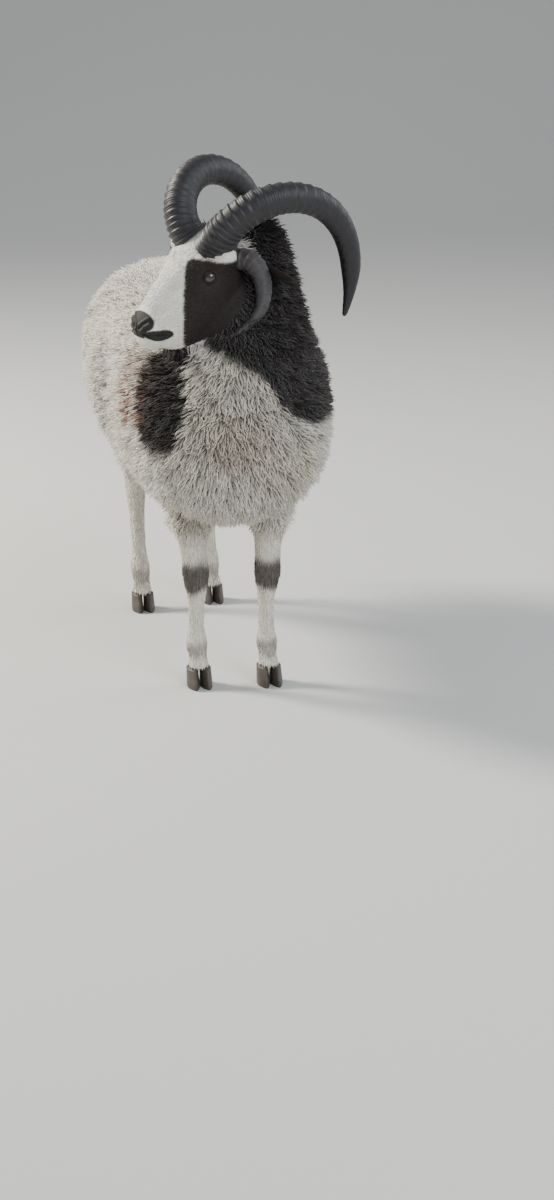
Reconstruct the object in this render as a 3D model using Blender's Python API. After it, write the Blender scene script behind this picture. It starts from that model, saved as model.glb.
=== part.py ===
"""A four-horned Jacob ram, life size, standing with its head turned to its right.

Metres, +Z up. The ram faces -Y, so its left side is +X. Its hooves stand on the floor at z = 0.
"""
import math
import random

import bmesh
import bpy
from mathutils import Matrix, Vector

# Touching meshes keep this gap.
GAP = 0.0003

# Fleece clumps: how far apart they stand, their half sizes across and outward, how deep the core lies.
TRUNK_FLEECE = {"pitch": 0.102, "across": 0.0640, "outward": 0.038, "core": 0.024}
NECK_FLEECE = {"pitch": 0.092, "across": 0.0570, "outward": 0.036, "core": 0.020}
TAIL_FLEECE = {"pitch": 0.110, "across": 0.060, "outward": 0.028, "core": 0.012}
CLUMP_SIDES = 6
CLUMP_RINGS = 4
SEED = 11

# Trunk, out to the tips of the fleece: (y, lowest z, highest z, half width).
TRUNK = (
    (-0.475, 0.49, 0.61, 0.075),
    (-0.455, 0.43, 0.67, 0.130),
    (-0.410, 0.38, 0.73, 0.178),
    (-0.330, 0.345, 0.80, 0.208),
    (-0.220, 0.335, 0.835, 0.220),
    (-0.060, 0.345, 0.83, 0.224),
    (0.100, 0.355, 0.82, 0.224),
    (0.250, 0.385, 0.82, 0.216),
    (0.360, 0.42, 0.81, 0.200),
    (0.440, 0.46, 0.78, 0.165),
    (0.490, 0.52, 0.73, 0.110),
    (0.510, 0.58, 0.68, 0.050),
)
# Neck, out to the tips of the fleece: (x, y, z of the middle, half width, half depth, turn in degrees).
NECK = (
    (0.000, -0.255, 0.560, 0.165, 0.175, 0),
    (0.000, -0.285, 0.660, 0.178, 0.180, 5),
    (0.006, -0.310, 0.745, 0.154, 0.166, 20),
    (0.010, -0.322, 0.820, 0.120, 0.142, 40),
    (0.012, -0.322, 0.885, 0.094, 0.116, 55),
    (0.014, -0.318, 0.938, 0.068, 0.088, 63),
    (0.016, -0.312, 0.970, 0.028, 0.042, 63),
)
# The plane that parts the neck from the trunk: a point on it and its upward normal.
NECK_CUT = (Vector((0.0, -0.33, 0.735)), Vector((0.0, -0.6, 0.8)))

# The head's own frame starts midway between the upper horns: forward, left, up.
HEAD_AT = Vector((-0.064, -0.374, 0.943))
HEAD_TURN = 63.0
HEAD_ROLL = 8.0
# Head sections: (forward and up of the top line, forward and up of the jaw line, half width, taper).
HEAD = (
    (-0.120, -0.045, -0.100, -0.158, 0.038, 0.0),
    (-0.098, -0.022, -0.078, -0.195, 0.053, 0.1),
    (-0.060, 0.002, -0.042, -0.224, 0.066, 0.25),
    (-0.020, 0.012, -0.008, -0.233, 0.073, 0.35),
    (0.016, 0.006, 0.020, -0.233, 0.073, 0.40),
    (0.042, -0.014, 0.046, -0.227, 0.067, 0.35),
    (0.068, -0.041, 0.070, -0.220, 0.057, 0.25),
    (0.092, -0.070, 0.089, -0.214, 0.048, 0.10),
    (0.115, -0.097, 0.106, -0.211, 0.042, 0.0),
    (0.136, -0.121, 0.120, -0.210, 0.039, -0.05),
    (0.149, -0.139, 0.130, -0.206, 0.036, -0.05),
    (0.157, -0.155, 0.138, -0.200, 0.029, -0.05),
    (0.158, -0.168, 0.143, -0.192, 0.016, 0.0),
)

EYE_RADIUS = 0.0135
EYE_AT = (0.036, 0.0585, -0.062)
# Face details on the left side, in the head's frame. An egg is its middle and three half sizes.
LIDS = ((0.036, 0.0595, -0.0620), (0.0215, 0.0175, 0.0180))
LID_OPENING = ((0.038, 0.0760, -0.0625), (0.0135, 0.0140, 0.0072))
SWELLINGS = {
    "horn_foot": ((0.006, 0.064, -0.030), (0.034, 0.025, 0.020)),
    "brow": ((0.022, 0.052, -0.040), (0.027, 0.018, 0.013)),
    "upper_lip": ((0.137, 0.025, -0.167), (0.020, 0.0165, 0.011)),
    "lower_lip": ((0.131, 0.021, -0.191), (0.018, 0.0180, 0.012)),
}
NOSTRIL = ((0.160, 0.007, -0.162), (0.158, 0.015, -0.153), (0.150, 0.025, -0.146), (0.141, 0.031, -0.146))
MOUTH = ((0.163, -0.004, -0.178), (0.157, 0.012, -0.177), (0.147, 0.027, -0.175), (0.132, 0.037, -0.174),
         (0.110, 0.043, -0.176))

# Upper horn in the head's frame, left side; the right one mirrors it.
HORN_ROOT = (0.0075, 0.0385, -0.012)
HORN_HEADING = (0.434, 0.585, 0.685)
HORN_AXIS = (0.095, -0.946, 0.310)
HORN_RADIUS = 0.0613
HORN_OPENING = 2.43
HORN_TURN = 227.5
HORN_WIDTH = 0.0369
HORN_FLARE = 0.0042
HORN_RIDGES = 15
# Lower horn, which curls round the cheek: points of its middle line, and its half width.
LOW_HORN = (
    (-0.030, 0.056, -0.034),
    (-0.042, 0.082, -0.032),
    (-0.052, 0.101, -0.050),
    (-0.057, 0.112, -0.080),
    (-0.052, 0.117, -0.114),
    (-0.034, 0.115, -0.142),
    (-0.008, 0.108, -0.162),
    (0.020, 0.099, -0.175),
)
LOW_HORN_WIDTH = 0.0235

EAR_ROOT = (-0.082, 0.048, -0.060)
EAR_TIP = (-0.086, 0.166, -0.054)
EAR_WIDTH = 0.025

# Legs: (x shift, y, z, half width, half depth), from inside the trunk down to the coronet.
FORE_LEG = (
    (0.014, -0.262, 0.480, 0.046, 0.058),
    (0.012, -0.268, 0.400, 0.041, 0.050),
    (0.008, -0.276, 0.330, 0.033, 0.039),
    (0.004, -0.283, 0.275, 0.0285, 0.031),
    (0.002, -0.286, 0.240, 0.0295, 0.031),
    (0.001, -0.285, 0.212, 0.0255, 0.026),
    (0.000, -0.282, 0.180, 0.0195, 0.0205),
    (0.000, -0.281, 0.120, 0.0185, 0.0200),
    (0.000, -0.283, 0.088, 0.0240, 0.0250),
    (0.000, -0.292, 0.062, 0.0205, 0.0220),
    (0.000, -0.300, 0.040, 0.0250, 0.0270),
)
HIND_LEG = (
    (-0.010, 0.235, 0.520, 0.058, 0.085),
    (-0.006, 0.262, 0.440, 0.050, 0.066),
    (-0.002, 0.300, 0.370, 0.036, 0.046),
    (0.000, 0.331, 0.318, 0.028, 0.037),
    (0.000, 0.342, 0.290, 0.0265, 0.035),
    (0.000, 0.341, 0.258, 0.0235, 0.028),
    (0.000, 0.333, 0.215, 0.0200, 0.0225),
    (0.000, 0.316, 0.140, 0.0185, 0.0205),
    (0.000, 0.306, 0.095, 0.0240, 0.0250),
    (0.000, 0.293, 0.066, 0.0205, 0.0220),
    (0.000, 0.284, 0.040, 0.0250, 0.0270),
)
LEG_X = {"fore": 0.073, "hind": 0.086}
# How far each leg stands ahead of its pair's middle.
STEP = {"fore_left": 0.012, "fore_right": -0.010, "hind_left": -0.018, "hind_right": 0.012}

HOOF_HEIGHT = 0.039
HOOF_LENGTH = 0.066
HOOF_WIDTH = 0.0255

TAIL = (
    (0.470, 0.700, 0.034, 0.030),
    (0.505, 0.690, 0.040, 0.032),
    (0.528, 0.640, 0.042, 0.034),
    (0.534, 0.560, 0.040, 0.032),
    (0.532, 0.480, 0.034, 0.028),
    (0.526, 0.410, 0.024, 0.020),
    (0.522, 0.380, 0.010, 0.008),
)

# The plane that parts the tail from the rump: a point on it and its backward normal.
TAIL_CUT = (Vector((0.0, 0.497, 0.60)), Vector((0.0, 1.0, 0.06)))

SIDES = {"left": 1, "right": -1}


def clear_scene():
    for obj in list(bpy.data.objects):
        bpy.data.objects.remove(obj)


def material(name, colour, roughness, metallic=0.0):
    made = bpy.data.materials.new(name)
    made.use_nodes = True
    shader = made.node_tree.nodes["Principled BSDF"]
    shader.inputs["Base Color"].default_value = (*colour, 1.0)
    shader.inputs["Roughness"].default_value = roughness
    shader.inputs["Metallic"].default_value = metallic
    made.diffuse_color = (*colour, 1.0)
    return made


def object_of(name, mesh_bm, collection, finish=None):
    mesh = bpy.data.meshes.new(name)
    bmesh.ops.recalc_face_normals(mesh_bm, faces=mesh_bm.faces)
    mesh_bm.to_mesh(mesh)
    mesh_bm.free()
    if finish:
        mesh.materials.append(finish)
    obj = bpy.data.objects.new(name, mesh)
    collection.objects.link(obj)
    return obj


def loft(name, rings, collection, finish=None):
    """A closed tube through rings of points, with each end drawn to its middle."""
    bm = bmesh.new()
    rows = [[bm.verts.new(p) for p in ring] for ring in rings]
    count = len(rings[0])
    for low, high in zip(rows, rows[1:]):
        for i in range(count):
            j = (i + 1) % count
            bm.faces.new((low[i], low[j], high[j]))
            bm.faces.new((low[i], high[j], high[i]))
    for ring in (rows[0], rows[-1]):
        middle = bm.verts.new(sum((v.co for v in ring), Vector()) / count)
        for i in range(count):
            bm.faces.new((ring[i], ring[(i + 1) % count], middle))
    return object_of(name, bm, collection, finish)


def oval(centre, across, along, count, power=2.0):
    """Points round a superellipse whose half axes are the two vectors."""
    points = []
    for i in range(count):
        a = 2 * math.pi * i / count
        c, s = math.cos(a), math.sin(a)
        u = math.copysign(abs(c) ** (2 / power), c)
        v = math.copysign(abs(s) ** (2 / power), s)
        points.append(centre + across * u + along * v)
    return points


def smooth_rows(rows, per_span):
    """Rows of numbers read from a Catmull-Rom curve through the given ones."""
    out = []
    for i in range(len(rows) - 1):
        before = rows[max(i - 1, 0)]
        a, b = rows[i], rows[i + 1]
        after = rows[min(i + 2, len(rows) - 1)]
        for step in range(per_span):
            t = step / per_span
            out.append(tuple(
                0.5 * (2 * q + (r - p) * t + (2 * p - 5 * q + 4 * r - s) * t ** 2
                       + (3 * q - p - 3 * r + s) * t ** 3)
                for p, q, r, s in zip(before, a, b, after)))
    out.append(tuple(rows[-1]))
    return out


def evaluated_mesh(obj):
    graph = bpy.context.evaluated_depsgraph_get()
    return bpy.data.meshes.new_from_object(obj.evaluated_get(graph))


def boolean(obj, operation, other=None, group=None, solver="EXACT"):
    """Applies one Boolean of obj with an object or with a whole collection."""
    modifier = obj.modifiers.new("join", "BOOLEAN")
    modifier.operation = operation
    modifier.solver = solver
    if group:
        modifier.operand_type = "COLLECTION"
        modifier.collection = group
    else:
        modifier.object = other
    mesh = evaluated_mesh(obj)
    obj.modifiers.clear()
    old = obj.data
    obj.data = mesh
    bpy.data.meshes.remove(old)


def remove(objects):
    for obj in list(objects):
        bpy.data.objects.remove(obj)


def keep_largest(obj):
    """Keeps the closed surface with the most faces."""
    bm = bmesh.new()
    bm.from_mesh(obj.data)
    left = set(bm.verts)
    shells = []
    while left:
        shell = {left.pop()}
        edge = list(shell)
        while edge:
            vert = edge.pop()
            for link in vert.link_edges:
                other = link.other_vert(vert)
                if other not in shell:
                    shell.add(other)
                    edge.append(other)
        left -= shell
        shells.append(shell)
    largest = max(shells, key=len)
    bmesh.ops.delete(bm, geom=[v for v in bm.verts if v not in largest], context="VERTS")
    bm.to_mesh(obj.data)
    bm.free()


def half_space(point, normal, collection, size=2.0):
    """A big block whose one face lies on the plane and whose body is on the normal's side."""
    bm = bmesh.new()
    bmesh.ops.create_cube(bm, size=size)
    turn = normal.to_track_quat("Z", "Y").to_matrix().to_4x4()
    bmesh.ops.transform(bm, matrix=Matrix.Translation(point + normal * size / 2) @ turn, verts=bm.verts)
    return object_of("block", bm, collection)


def cut_away(obj, point, normal, collection):
    """Removes what lies on the normal's side of the plane."""
    block = half_space(point, normal.normalized(), collection)
    boolean(obj, "DIFFERENCE", other=block)
    remove([block])


def superellipse(a, power):
    c, s = math.cos(a), math.sin(a)
    return math.copysign(abs(c) ** (2 / power), c), math.copysign(abs(s) ** (2 / power), s)


def trunk_ring(row, depth):
    """Centre, half width vector and half height vector of one trunk section."""
    y, low, high, half = row
    middle = (TRUNK[0][0] + TRUNK[-1][0]) / 2
    length = TRUNK[-1][0] - TRUNK[0][0]
    centre = Vector((0, y - (y - middle) / (length / 2) * depth, (low + high) / 2))
    across = Vector((max(half - depth, 0.02), 0, 0))
    rise = Vector((0, 0, max((high - low) / 2 - depth, 0.02)))
    return centre, across, rise


def neck_ring(row, depth):
    x, y, z, half, deep, turn = row
    a = math.radians(turn)
    forward = Vector((-math.sin(a), -math.cos(a), -0.30))
    left = Vector((math.cos(a), -math.sin(a), 0))
    return Vector((x, y, z)), left * max(half - depth, 0.012), forward * max(deep - depth, 0.016)


def tail_ring(row, depth):
    y, z, half, deep = row
    return Vector((0, y, z)), Vector((max(half - depth, 0.006), 0, 0)), Vector((0, max(deep - depth, 0.006), 0.004))


def rings_of(rows, ring, depth, count, power=2.0):
    out = []
    for row in rows:
        centre, across, rise = ring(row, depth)
        out.append(oval(centre, across, rise, count, power))
    return out


def surface_point(rows, ring, place, angle, power):
    """A point on the tips' surface, place rows along and angle round."""
    place = min(max(place, 0.0), len(rows) - 1.0)
    i = min(int(place), len(rows) - 2)
    part = place - i
    row = tuple(a + (b - a) * part for a, b in zip(rows[i], rows[i + 1]))
    centre, across, rise = ring(row, 0.0)
    u, v = superellipse(angle, power)
    return centre + across * u + rise * v


def clump(collection, tip, outward, along, across, depth, rng):
    """One rounded clump whose outermost point is at tip."""
    bm = bmesh.new()
    bmesh.ops.create_uvsphere(bm, u_segments=CLUMP_SIDES, v_segments=CLUMP_RINGS, radius=1.0)
    side = outward.cross(along).normalized()
    along = side.cross(outward).normalized()
    wide = across * rng.uniform(0.90, 1.08)
    long = across * rng.uniform(1.02, 1.22)
    shape = Matrix((side * wide, along * long, outward * depth)).transposed().to_4x4()
    spin = Matrix.Rotation(rng.uniform(0, 6.28), 4, "Z")
    centre = tip - outward * depth
    bmesh.ops.transform(bm, matrix=Matrix.Translation(centre) @ shape @ spin, verts=bm.verts)
    object_of("clump", bm, collection)


def clump_rows(collection, rows, ring, fleece, power, seed):
    """Clumps in staggered rows over the whole surface, which come out to its tips."""
    rng = random.Random(seed)
    fine = smooth_rows(rows, 6)
    walked = 0.0
    due = fleece["pitch"] * 0.3
    number = 0
    for i in range(1, len(fine)):
        here = surface_point(fine, ring, i, 0.4, power)
        walked += (here - surface_point(fine, ring, i - 1, 0.4, power)).length
        if walked < due:
            continue
        due += fleece["pitch"] * 0.9
        points = [surface_point(fine, ring, i, 2 * math.pi * k / 36, power) for k in range(37)]
        steps = [(b - a).length for a, b in zip(points, points[1:])]
        girth = sum(steps)
        count = max(3, round(girth / fleece["pitch"]))
        for k in range(count):
            goal = girth * ((k + 0.5 * (number % 2) + rng.uniform(-0.12, 0.12)) / count % 1.0)
            j = 0
            while j < 35 and goal > steps[j]:
                goal -= steps[j]
                j += 1
            angle = 2 * math.pi * (j + goal / steps[j]) / 36
            place = i + rng.uniform(-0.5, 0.5)
            tip = surface_point(fine, ring, place, angle, power)
            ahead = surface_point(fine, ring, place + 0.6, angle, power) - surface_point(
                fine, ring, place - 0.6, angle, power)
            round_it = surface_point(fine, ring, place, angle + 0.06, power) - surface_point(
                fine, ring, place, angle - 0.06, power)
            outward = ahead.cross(round_it).normalized()
            centre, _, _ = ring(tuple(fine[i]), 0.0)
            if outward.dot(tip - centre) < 0:
                outward.negate()
            clump(collection, tip, outward, round_it.normalized(), fleece["across"], fleece["outward"], rng)
        number += 1
    for end, other in ((fine[0], fine[1]), (fine[-1], fine[-2])):
        centre = ring(tuple(end), 0.0)[0]
        outward = (centre - ring(tuple(other), 0.0)[0]).normalized()
        across = outward.cross(Vector((1, 0.01, 0))).normalized()
        clump(collection, centre + outward * 0.004, outward, across, fleece["across"], fleece["outward"], rng)


def fleeced(name, rows, ring, fleece, power, seed, collection, finish, count=14, core_rows=None):
    """A core with its clumps fused to it by one union."""
    core = loft(name, rings_of(core_rows or rows, ring, fleece["core"], count, power), collection, finish)
    group = bpy.data.collections.new("clumps")
    bpy.context.scene.collection.children.link(group)
    clump_rows(group, rows, ring, fleece, power, seed)
    boolean(core, "UNION", group=group)
    remove(group.objects)
    bpy.data.collections.remove(group)
    keep_largest(core)
    return core


def head_frame():
    """The head's axes in the world: columns forward, left, up, and its origin."""
    a = math.radians(HEAD_TURN)
    r = math.radians(HEAD_ROLL)
    forward = Vector((-math.sin(a), -math.cos(a), 0))
    left = Vector((0, 0, 1)).cross(forward)
    up = Vector((0, 0, 1))
    rolled_left = left * math.cos(r) - up * math.sin(r)
    rolled_up = up * math.cos(r) + left * math.sin(r)
    matrix = Matrix((forward, rolled_left, rolled_up)).transposed().to_4x4()
    return Matrix.Translation(HEAD_AT) @ matrix


def head_section(row, count, grow=0.0):
    """One closed section of the head, wider above or below by its taper."""
    top_f, top_u, low_f, low_u, half, taper = row
    top = Vector((top_f, 0, top_u))
    low = Vector((low_f, 0, low_u))
    centre = (top + low) / 2
    rise = (top - low) / 2
    rise += rise.normalized() * grow
    half += grow
    points = []
    for i in range(count):
        a = 2 * math.pi * i / count
        c, s = math.cos(a), math.sin(a)
        v = math.copysign(abs(s) ** 0.9, s)
        u = math.copysign(abs(c) ** 0.85, c) * (1 + taper * v * 0.6)
        points.append(centre + rise * v + Vector((0, half * u, 0)))
    return points


def head_solid(grow, collection, finish):
    """The head, or the cutter of its seat in the neck when grow is more than nothing."""
    frame = head_frame()
    rows = smooth_rows(HEAD, 2)
    rings = [head_section(row, 22, grow) for row in rows]
    for ring, outward in ((rings[0], -1), (rings[-1], 1)):
        for point in ring:
            point.x += outward * grow
    rings = [[frame @ p for p in ring] for ring in rings]
    return loft("head", rings, collection, finish)


def mirrored(point, side):
    return Vector((point[0], point[1] * SIDES[side], point[2]))


def egg(side, middle, sizes, collection):
    """A faceted egg on the head, by its middle and half sizes in the head's frame."""
    frame = head_frame()
    bm = bmesh.new()
    bmesh.ops.create_icosphere(bm, subdivisions=2, radius=1.0)
    for vert in bm.verts:
        vert.co = frame @ mirrored([m + h * c for m, h, c in zip(middle, sizes, vert.co)], side)
    if side == "right":
        bmesh.ops.reverse_faces(bm, faces=bm.faces)
    return object_of("egg", bm, collection)


def groove(side, path, deep, high, collection):
    """A cutter along a line on the face, deep into the skin and narrow across."""
    frame = head_frame()
    points = [Vector(p) for p in path]
    rings = []
    for i, point in enumerate(points):
        ahead = points[min(i + 1, len(points) - 1)] - points[max(i - 1, 0)]
        outward = ahead.cross(Vector((0, 0, -1))).normalized()
        upward = ahead.cross(outward).normalized()
        rings.append([frame @ mirrored(p, side) for p in oval(point, outward * deep, upward * high, 6)])
    return loft("groove", rings, collection)


def shape_face(head, collection):
    """Adds the brows, lids and lips to the head, then cuts the nostrils and the mouth's line."""
    for side in SIDES:
        steps = [("UNION", egg(side, *SWELLINGS[name], collection)) for name in SWELLINGS]
        steps.append(("UNION", egg(side, *LIDS, collection)))
        steps.append(("DIFFERENCE", groove(side, NOSTRIL, 0.0065, 0.0032, collection)))
        steps.append(("DIFFERENCE", groove(side, MOUTH, 0.0065, 0.0014, collection)))
        for operation, other in steps:
            boolean(head, operation, other=other)
            remove([other])


def open_lids(head, collection):
    """Cuts the almond between the lids, in front of each eyeball."""
    for side in SIDES:
        opening = egg(side, *LID_OPENING, collection)
        boolean(head, "DIFFERENCE", other=opening)
        remove([opening])


def horn_path(steps):
    """The upper left horn's middle line: a turn about one axis whose radius opens towards the tip."""
    axis = Vector(HORN_AXIS).normalized()
    heading = Vector(HORN_HEADING).normalized()
    turn = math.radians(HORN_TURN)
    at = Vector(HORN_ROOT)
    points = [at.copy()]
    for i in range(steps):
        share = (i + 0.5) / steps
        radius = HORN_RADIUS * (1 + HORN_OPENING * share)
        direction = Matrix.Rotation(turn * share, 3, axis) @ heading
        at = at + direction * radius * turn / steps
        points.append(at.copy())
    return points


def tube_rings(points, widths, count, flat=1.0, power=2.0, up=Vector((0, 0, 1))):
    """Rings square to a path, turned as little as possible from one to the next."""
    rings = []
    side = None
    for i, point in enumerate(points):
        ahead = (points[min(i + 1, len(points) - 1)] - points[max(i - 1, 0)]).normalized()
        if side is None:
            side = ahead.cross(up).normalized()
        side = (side - ahead * side.dot(ahead)).normalized()
        other = ahead.cross(side)
        rings.append(oval(point, side * widths[i], other * widths[i] * flat, count, power))
    return rings


def horn_width(share):
    """Half the upper horn's width: flared at the skull, slow to taper, pointed at the tip."""
    return HORN_WIDTH * max(1 - share, 0.004) ** 0.27 + HORN_FLARE * math.exp(-share / 0.04)


def upper_horn(side, grow, collection, finish):
    """A ridged, tapering horn. grow swells it evenly, for the cutter of its seat."""
    frame = head_frame()
    per_ridge = 2
    steps = HORN_RIDGES * per_ridge + 4
    points = [frame @ mirrored(p, side) for p in horn_path(steps)]
    widths = []
    for i in range(steps + 1):
        share = i / steps
        width = horn_width(share)
        if 1 < i < steps - 3:
            width *= 1.0 + (0.035 if i % per_ridge else -0.02)
        widths.append(width + grow)
    if grow:
        points[0] = points[0] - (points[1] - points[0]).normalized() * grow
    rings = tube_rings(points, widths, 12, flat=0.92)
    return loft(f"horn_upper_{side}", rings, collection, finish)


def lower_horn(side, grow, collection, finish):
    frame = head_frame()
    rows = smooth_rows(LOW_HORN, 3)
    points = [frame @ mirrored(p, side) for p in rows]
    last = len(points) - 1
    widths = [LOW_HORN_WIDTH * (1 - i / last) ** 0.55 + 0.003 + grow for i in range(last + 1)]
    if grow:
        points[0] = points[0] - (points[1] - points[0]).normalized() * grow
    return loft(f"horn_lower_{side}", tube_rings(points, widths, 10, flat=0.85), collection, finish)


def ear(side, grow, collection, finish):
    """A leaf-shaped ear, rolled into a cup that opens forward and down."""
    frame = head_frame()
    root, tip = mirrored(EAR_ROOT, side), mirrored(EAR_TIP, side)
    along = tip - root
    line = along.normalized()
    across = Vector((0.8, 0, 0.6))
    across = (across - line * across.dot(line)).normalized()
    thick = line.cross(across) * SIDES[side]
    rings = []
    # share of the length, width, thickness and roll of the edges, each for one section
    for share, wide, deep, roll in ((0, 0.5, 0.42, 0), (0.18, 0.62, 0.36, 0.06), (0.4, 0.95, 0.21, 0.34),
                                    (0.62, 1.0, 0.16, 0.38), (0.84, 0.68, 0.12, 0.22), (0.97, 0.25, 0.08, 0)):
        centre = root + along * share - (line * grow * 2 if share == 0 else Vector())
        ring = oval(centre, across * (EAR_WIDTH * wide + grow * 1.5), thick * (EAR_WIDTH * deep + grow * 1.5), 12)
        for point in ring:
            edge = (point - centre).dot(across) / (EAR_WIDTH * wide)
            point += thick * EAR_WIDTH * roll * (edge ** 2 - 0.4)
        rings.append([frame @ p for p in ring])
    return loft(f"ear_{side}", rings, collection, finish)


def eye(side, grow, collection, finish):
    bm = bmesh.new()
    bmesh.ops.create_uvsphere(bm, u_segments=12, v_segments=8, radius=EYE_RADIUS + grow)
    where = head_frame() @ mirrored(EYE_AT, side)
    bmesh.ops.translate(bm, verts=bm.verts, vec=where)
    return object_of(f"eye_{side}", bm, collection, finish)


def leg(pair, side, grow, collection, finish):
    rows = FORE_LEG if pair == "fore" else HIND_LEG
    ahead = STEP[f"{pair}_{side}"]
    rings = []
    for shift, y, z, half, deep in rows:
        share = 1 - z / rows[0][2]
        x = SIDES[side] * (LEG_X[pair] + shift)
        centre = Vector((x, y - ahead * share, z + (grow if (shift, y, z) == rows[0][:3] else 0)))
        rings.append(oval(centre, Vector((half + grow, 0, 0)), Vector((0, deep + grow, 0)), 12))
    return loft(f"leg_{pair}_{side}", rings, collection, finish)


def hoof_claw(pair, side, claw, collection, finish):
    """One of a foot's two claws: a flat sole, a sloping wall and a pointed toe."""
    rows = FORE_LEG if pair == "fore" else HIND_LEG
    share = 1 - rows[-1][2] / rows[0][2]
    heel_y = rows[-1][1] - STEP[f"{pair}_{side}"] * share + 0.024
    x = SIDES[side] * LEG_X[pair]
    middle = x + claw * (HOOF_WIDTH / 2 + 0.001)
    rings = []
    for height, length, width in ((0.0, 1.0, 1.0), (0.012, 0.97, 1.0), (HOOF_HEIGHT, 0.72, 0.92)):
        ring = []
        for i in range(10):
            a = 2 * math.pi * i / 10
            c, s = math.cos(a), math.sin(a)
            reach = HOOF_LENGTH * length
            narrow = 1 - 0.45 * max(0.0, -s) ** 2
            ring.append(Vector((middle + HOOF_WIDTH / 2 * width * c * narrow,
                                heel_y - reach / 2 + reach / 2 * s, height)))
        rings.append(ring)
    name = f"hoof_{pair}_{side}_{'outer' if claw * SIDES[side] > 0 else 'inner'}"
    return loft(name, rings, collection, finish)


def stand_on_origin(collection):
    """Moves everything so that the bounding box's bottom centre is the origin."""
    corners = [v.co for obj in collection.objects for v in obj.data.vertices]
    low = Vector(min(c[i] for c in corners) for i in range(3))
    high = Vector(max(c[i] for c in corners) for i in range(3))
    shift = Vector((-(low.x + high.x) / 2, -(low.y + high.y) / 2, -low.z))
    for obj in collection.objects:
        obj.data.transform(Matrix.Translation(shift))


def make_ram():
    clear_scene()
    ram = bpy.data.collections.new("jacob_ram")
    bpy.context.scene.collection.children.link(ram)
    cutters = bpy.data.collections.new("cutters")
    bpy.context.scene.collection.children.link(cutters)

    white_wool = material("white_wool", (0.72, 0.68, 0.58), 0.95)
    dark_wool = material("dark_wool", (0.045, 0.032, 0.028), 0.95)
    face_hair = material("face_hair", (0.74, 0.72, 0.68), 0.75)
    leg_hair = material("leg_hair", (0.66, 0.63, 0.58), 0.8)
    horn = material("horn", (0.085, 0.078, 0.075), 0.55)
    pale_horn = material("pale_horn", (0.20, 0.17, 0.15), 0.55)
    hoof = material("hoof", (0.07, 0.06, 0.055), 0.5)
    eye_gloss = material("eye", (0.16, 0.09, 0.03), 0.08)

    trunk = fleeced("torso", TRUNK, trunk_ring, TRUNK_FLEECE, 2.25, SEED, ram, white_wool)
    cut_away(trunk, NECK_CUT[0] - NECK_CUT[1] * GAP, NECK_CUT[1], cutters)
    neck = fleeced("neck", NECK, neck_ring, NECK_FLEECE, 2.0, SEED + 1, ram, dark_wool)
    cut_away(neck, NECK_CUT[0], -NECK_CUT[1], cutters)
    head = head_solid(0.0, ram, face_hair)
    shape_face(head, cutters)
    seat = head_solid(GAP * 1.5, cutters, None)
    for carrier in (trunk, neck):
        boolean(carrier, "DIFFERENCE", other=seat)
    remove([seat])

    for pair in ("fore", "hind"):
        for side in SIDES:
            leg(pair, side, 0.0, ram, leg_hair)
            seat = leg(pair, side, GAP, cutters, None)
            boolean(trunk, "DIFFERENCE", other=seat)
            remove([seat])
            for claw in (-1, 1):
                hoof_claw(pair, side, claw, ram, hoof)

    tail = fleeced("tail", TAIL, tail_ring, TAIL_FLEECE, 2.0, SEED + 2, ram, white_wool, 10)
    cut_away(tail, TAIL_CUT[0] + TAIL_CUT[1] * GAP, -TAIL_CUT[1], cutters)
    cut_away(trunk, TAIL_CUT[0], TAIL_CUT[1], cutters)

    for side in SIDES:
        carriers = [head, neck, trunk]
        for build, finish in ((eye, eye_gloss), (ear, dark_wool), (lower_horn, pale_horn), (upper_horn, horn)):
            rider = build(side, 0.0, ram, finish)
            seat = build(side, GAP, cutters, None)
            for carrier in carriers:
                boolean(carrier, "DIFFERENCE", other=seat)
            remove([seat])
            carriers.append(rider)
    open_lids(head, cutters)
    for obj in (trunk, neck, head):
        keep_largest(obj)
    stand_on_origin(ram)


make_ram()
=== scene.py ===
# %% [markdown]
# # A four-horned Jacob ram
#
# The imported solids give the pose, the size and the main forms: trunk, neck, head, horns, legs and
# tail. This lesson dresses them. One skin is grown over the flesh, it is painted with the piebald
# markings, and thousands of small locks of wool are set on it. The horns, eyes and hooves are made
# again with their fine relief.

# %% The frame that everything is placed in
import math
import random

import bmesh
import bpy
import numpy as np
from mathutils import Matrix, Vector, kdtree, noise


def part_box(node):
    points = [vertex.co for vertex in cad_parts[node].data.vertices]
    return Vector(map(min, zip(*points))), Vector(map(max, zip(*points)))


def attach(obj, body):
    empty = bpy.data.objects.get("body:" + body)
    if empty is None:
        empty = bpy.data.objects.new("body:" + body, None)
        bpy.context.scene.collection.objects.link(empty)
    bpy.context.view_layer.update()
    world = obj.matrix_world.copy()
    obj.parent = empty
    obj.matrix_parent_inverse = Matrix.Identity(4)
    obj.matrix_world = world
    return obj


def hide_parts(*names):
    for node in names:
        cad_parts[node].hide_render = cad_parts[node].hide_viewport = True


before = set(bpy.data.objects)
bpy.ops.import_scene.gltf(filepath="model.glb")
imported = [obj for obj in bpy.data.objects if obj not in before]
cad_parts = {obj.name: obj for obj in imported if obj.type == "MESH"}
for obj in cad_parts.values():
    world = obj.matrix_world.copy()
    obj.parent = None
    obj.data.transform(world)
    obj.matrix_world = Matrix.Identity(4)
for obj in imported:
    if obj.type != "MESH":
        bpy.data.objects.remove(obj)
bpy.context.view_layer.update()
SIDES = {"left": 1, "right": -1}

# %% [markdown]
# The sheep's main forms are the same section tables that the solids were made from. The solids were
# moved so that their box stands on the origin. The fore hooves tell by how much, as the heel of
# each is a plain sum of the tables.

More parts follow.
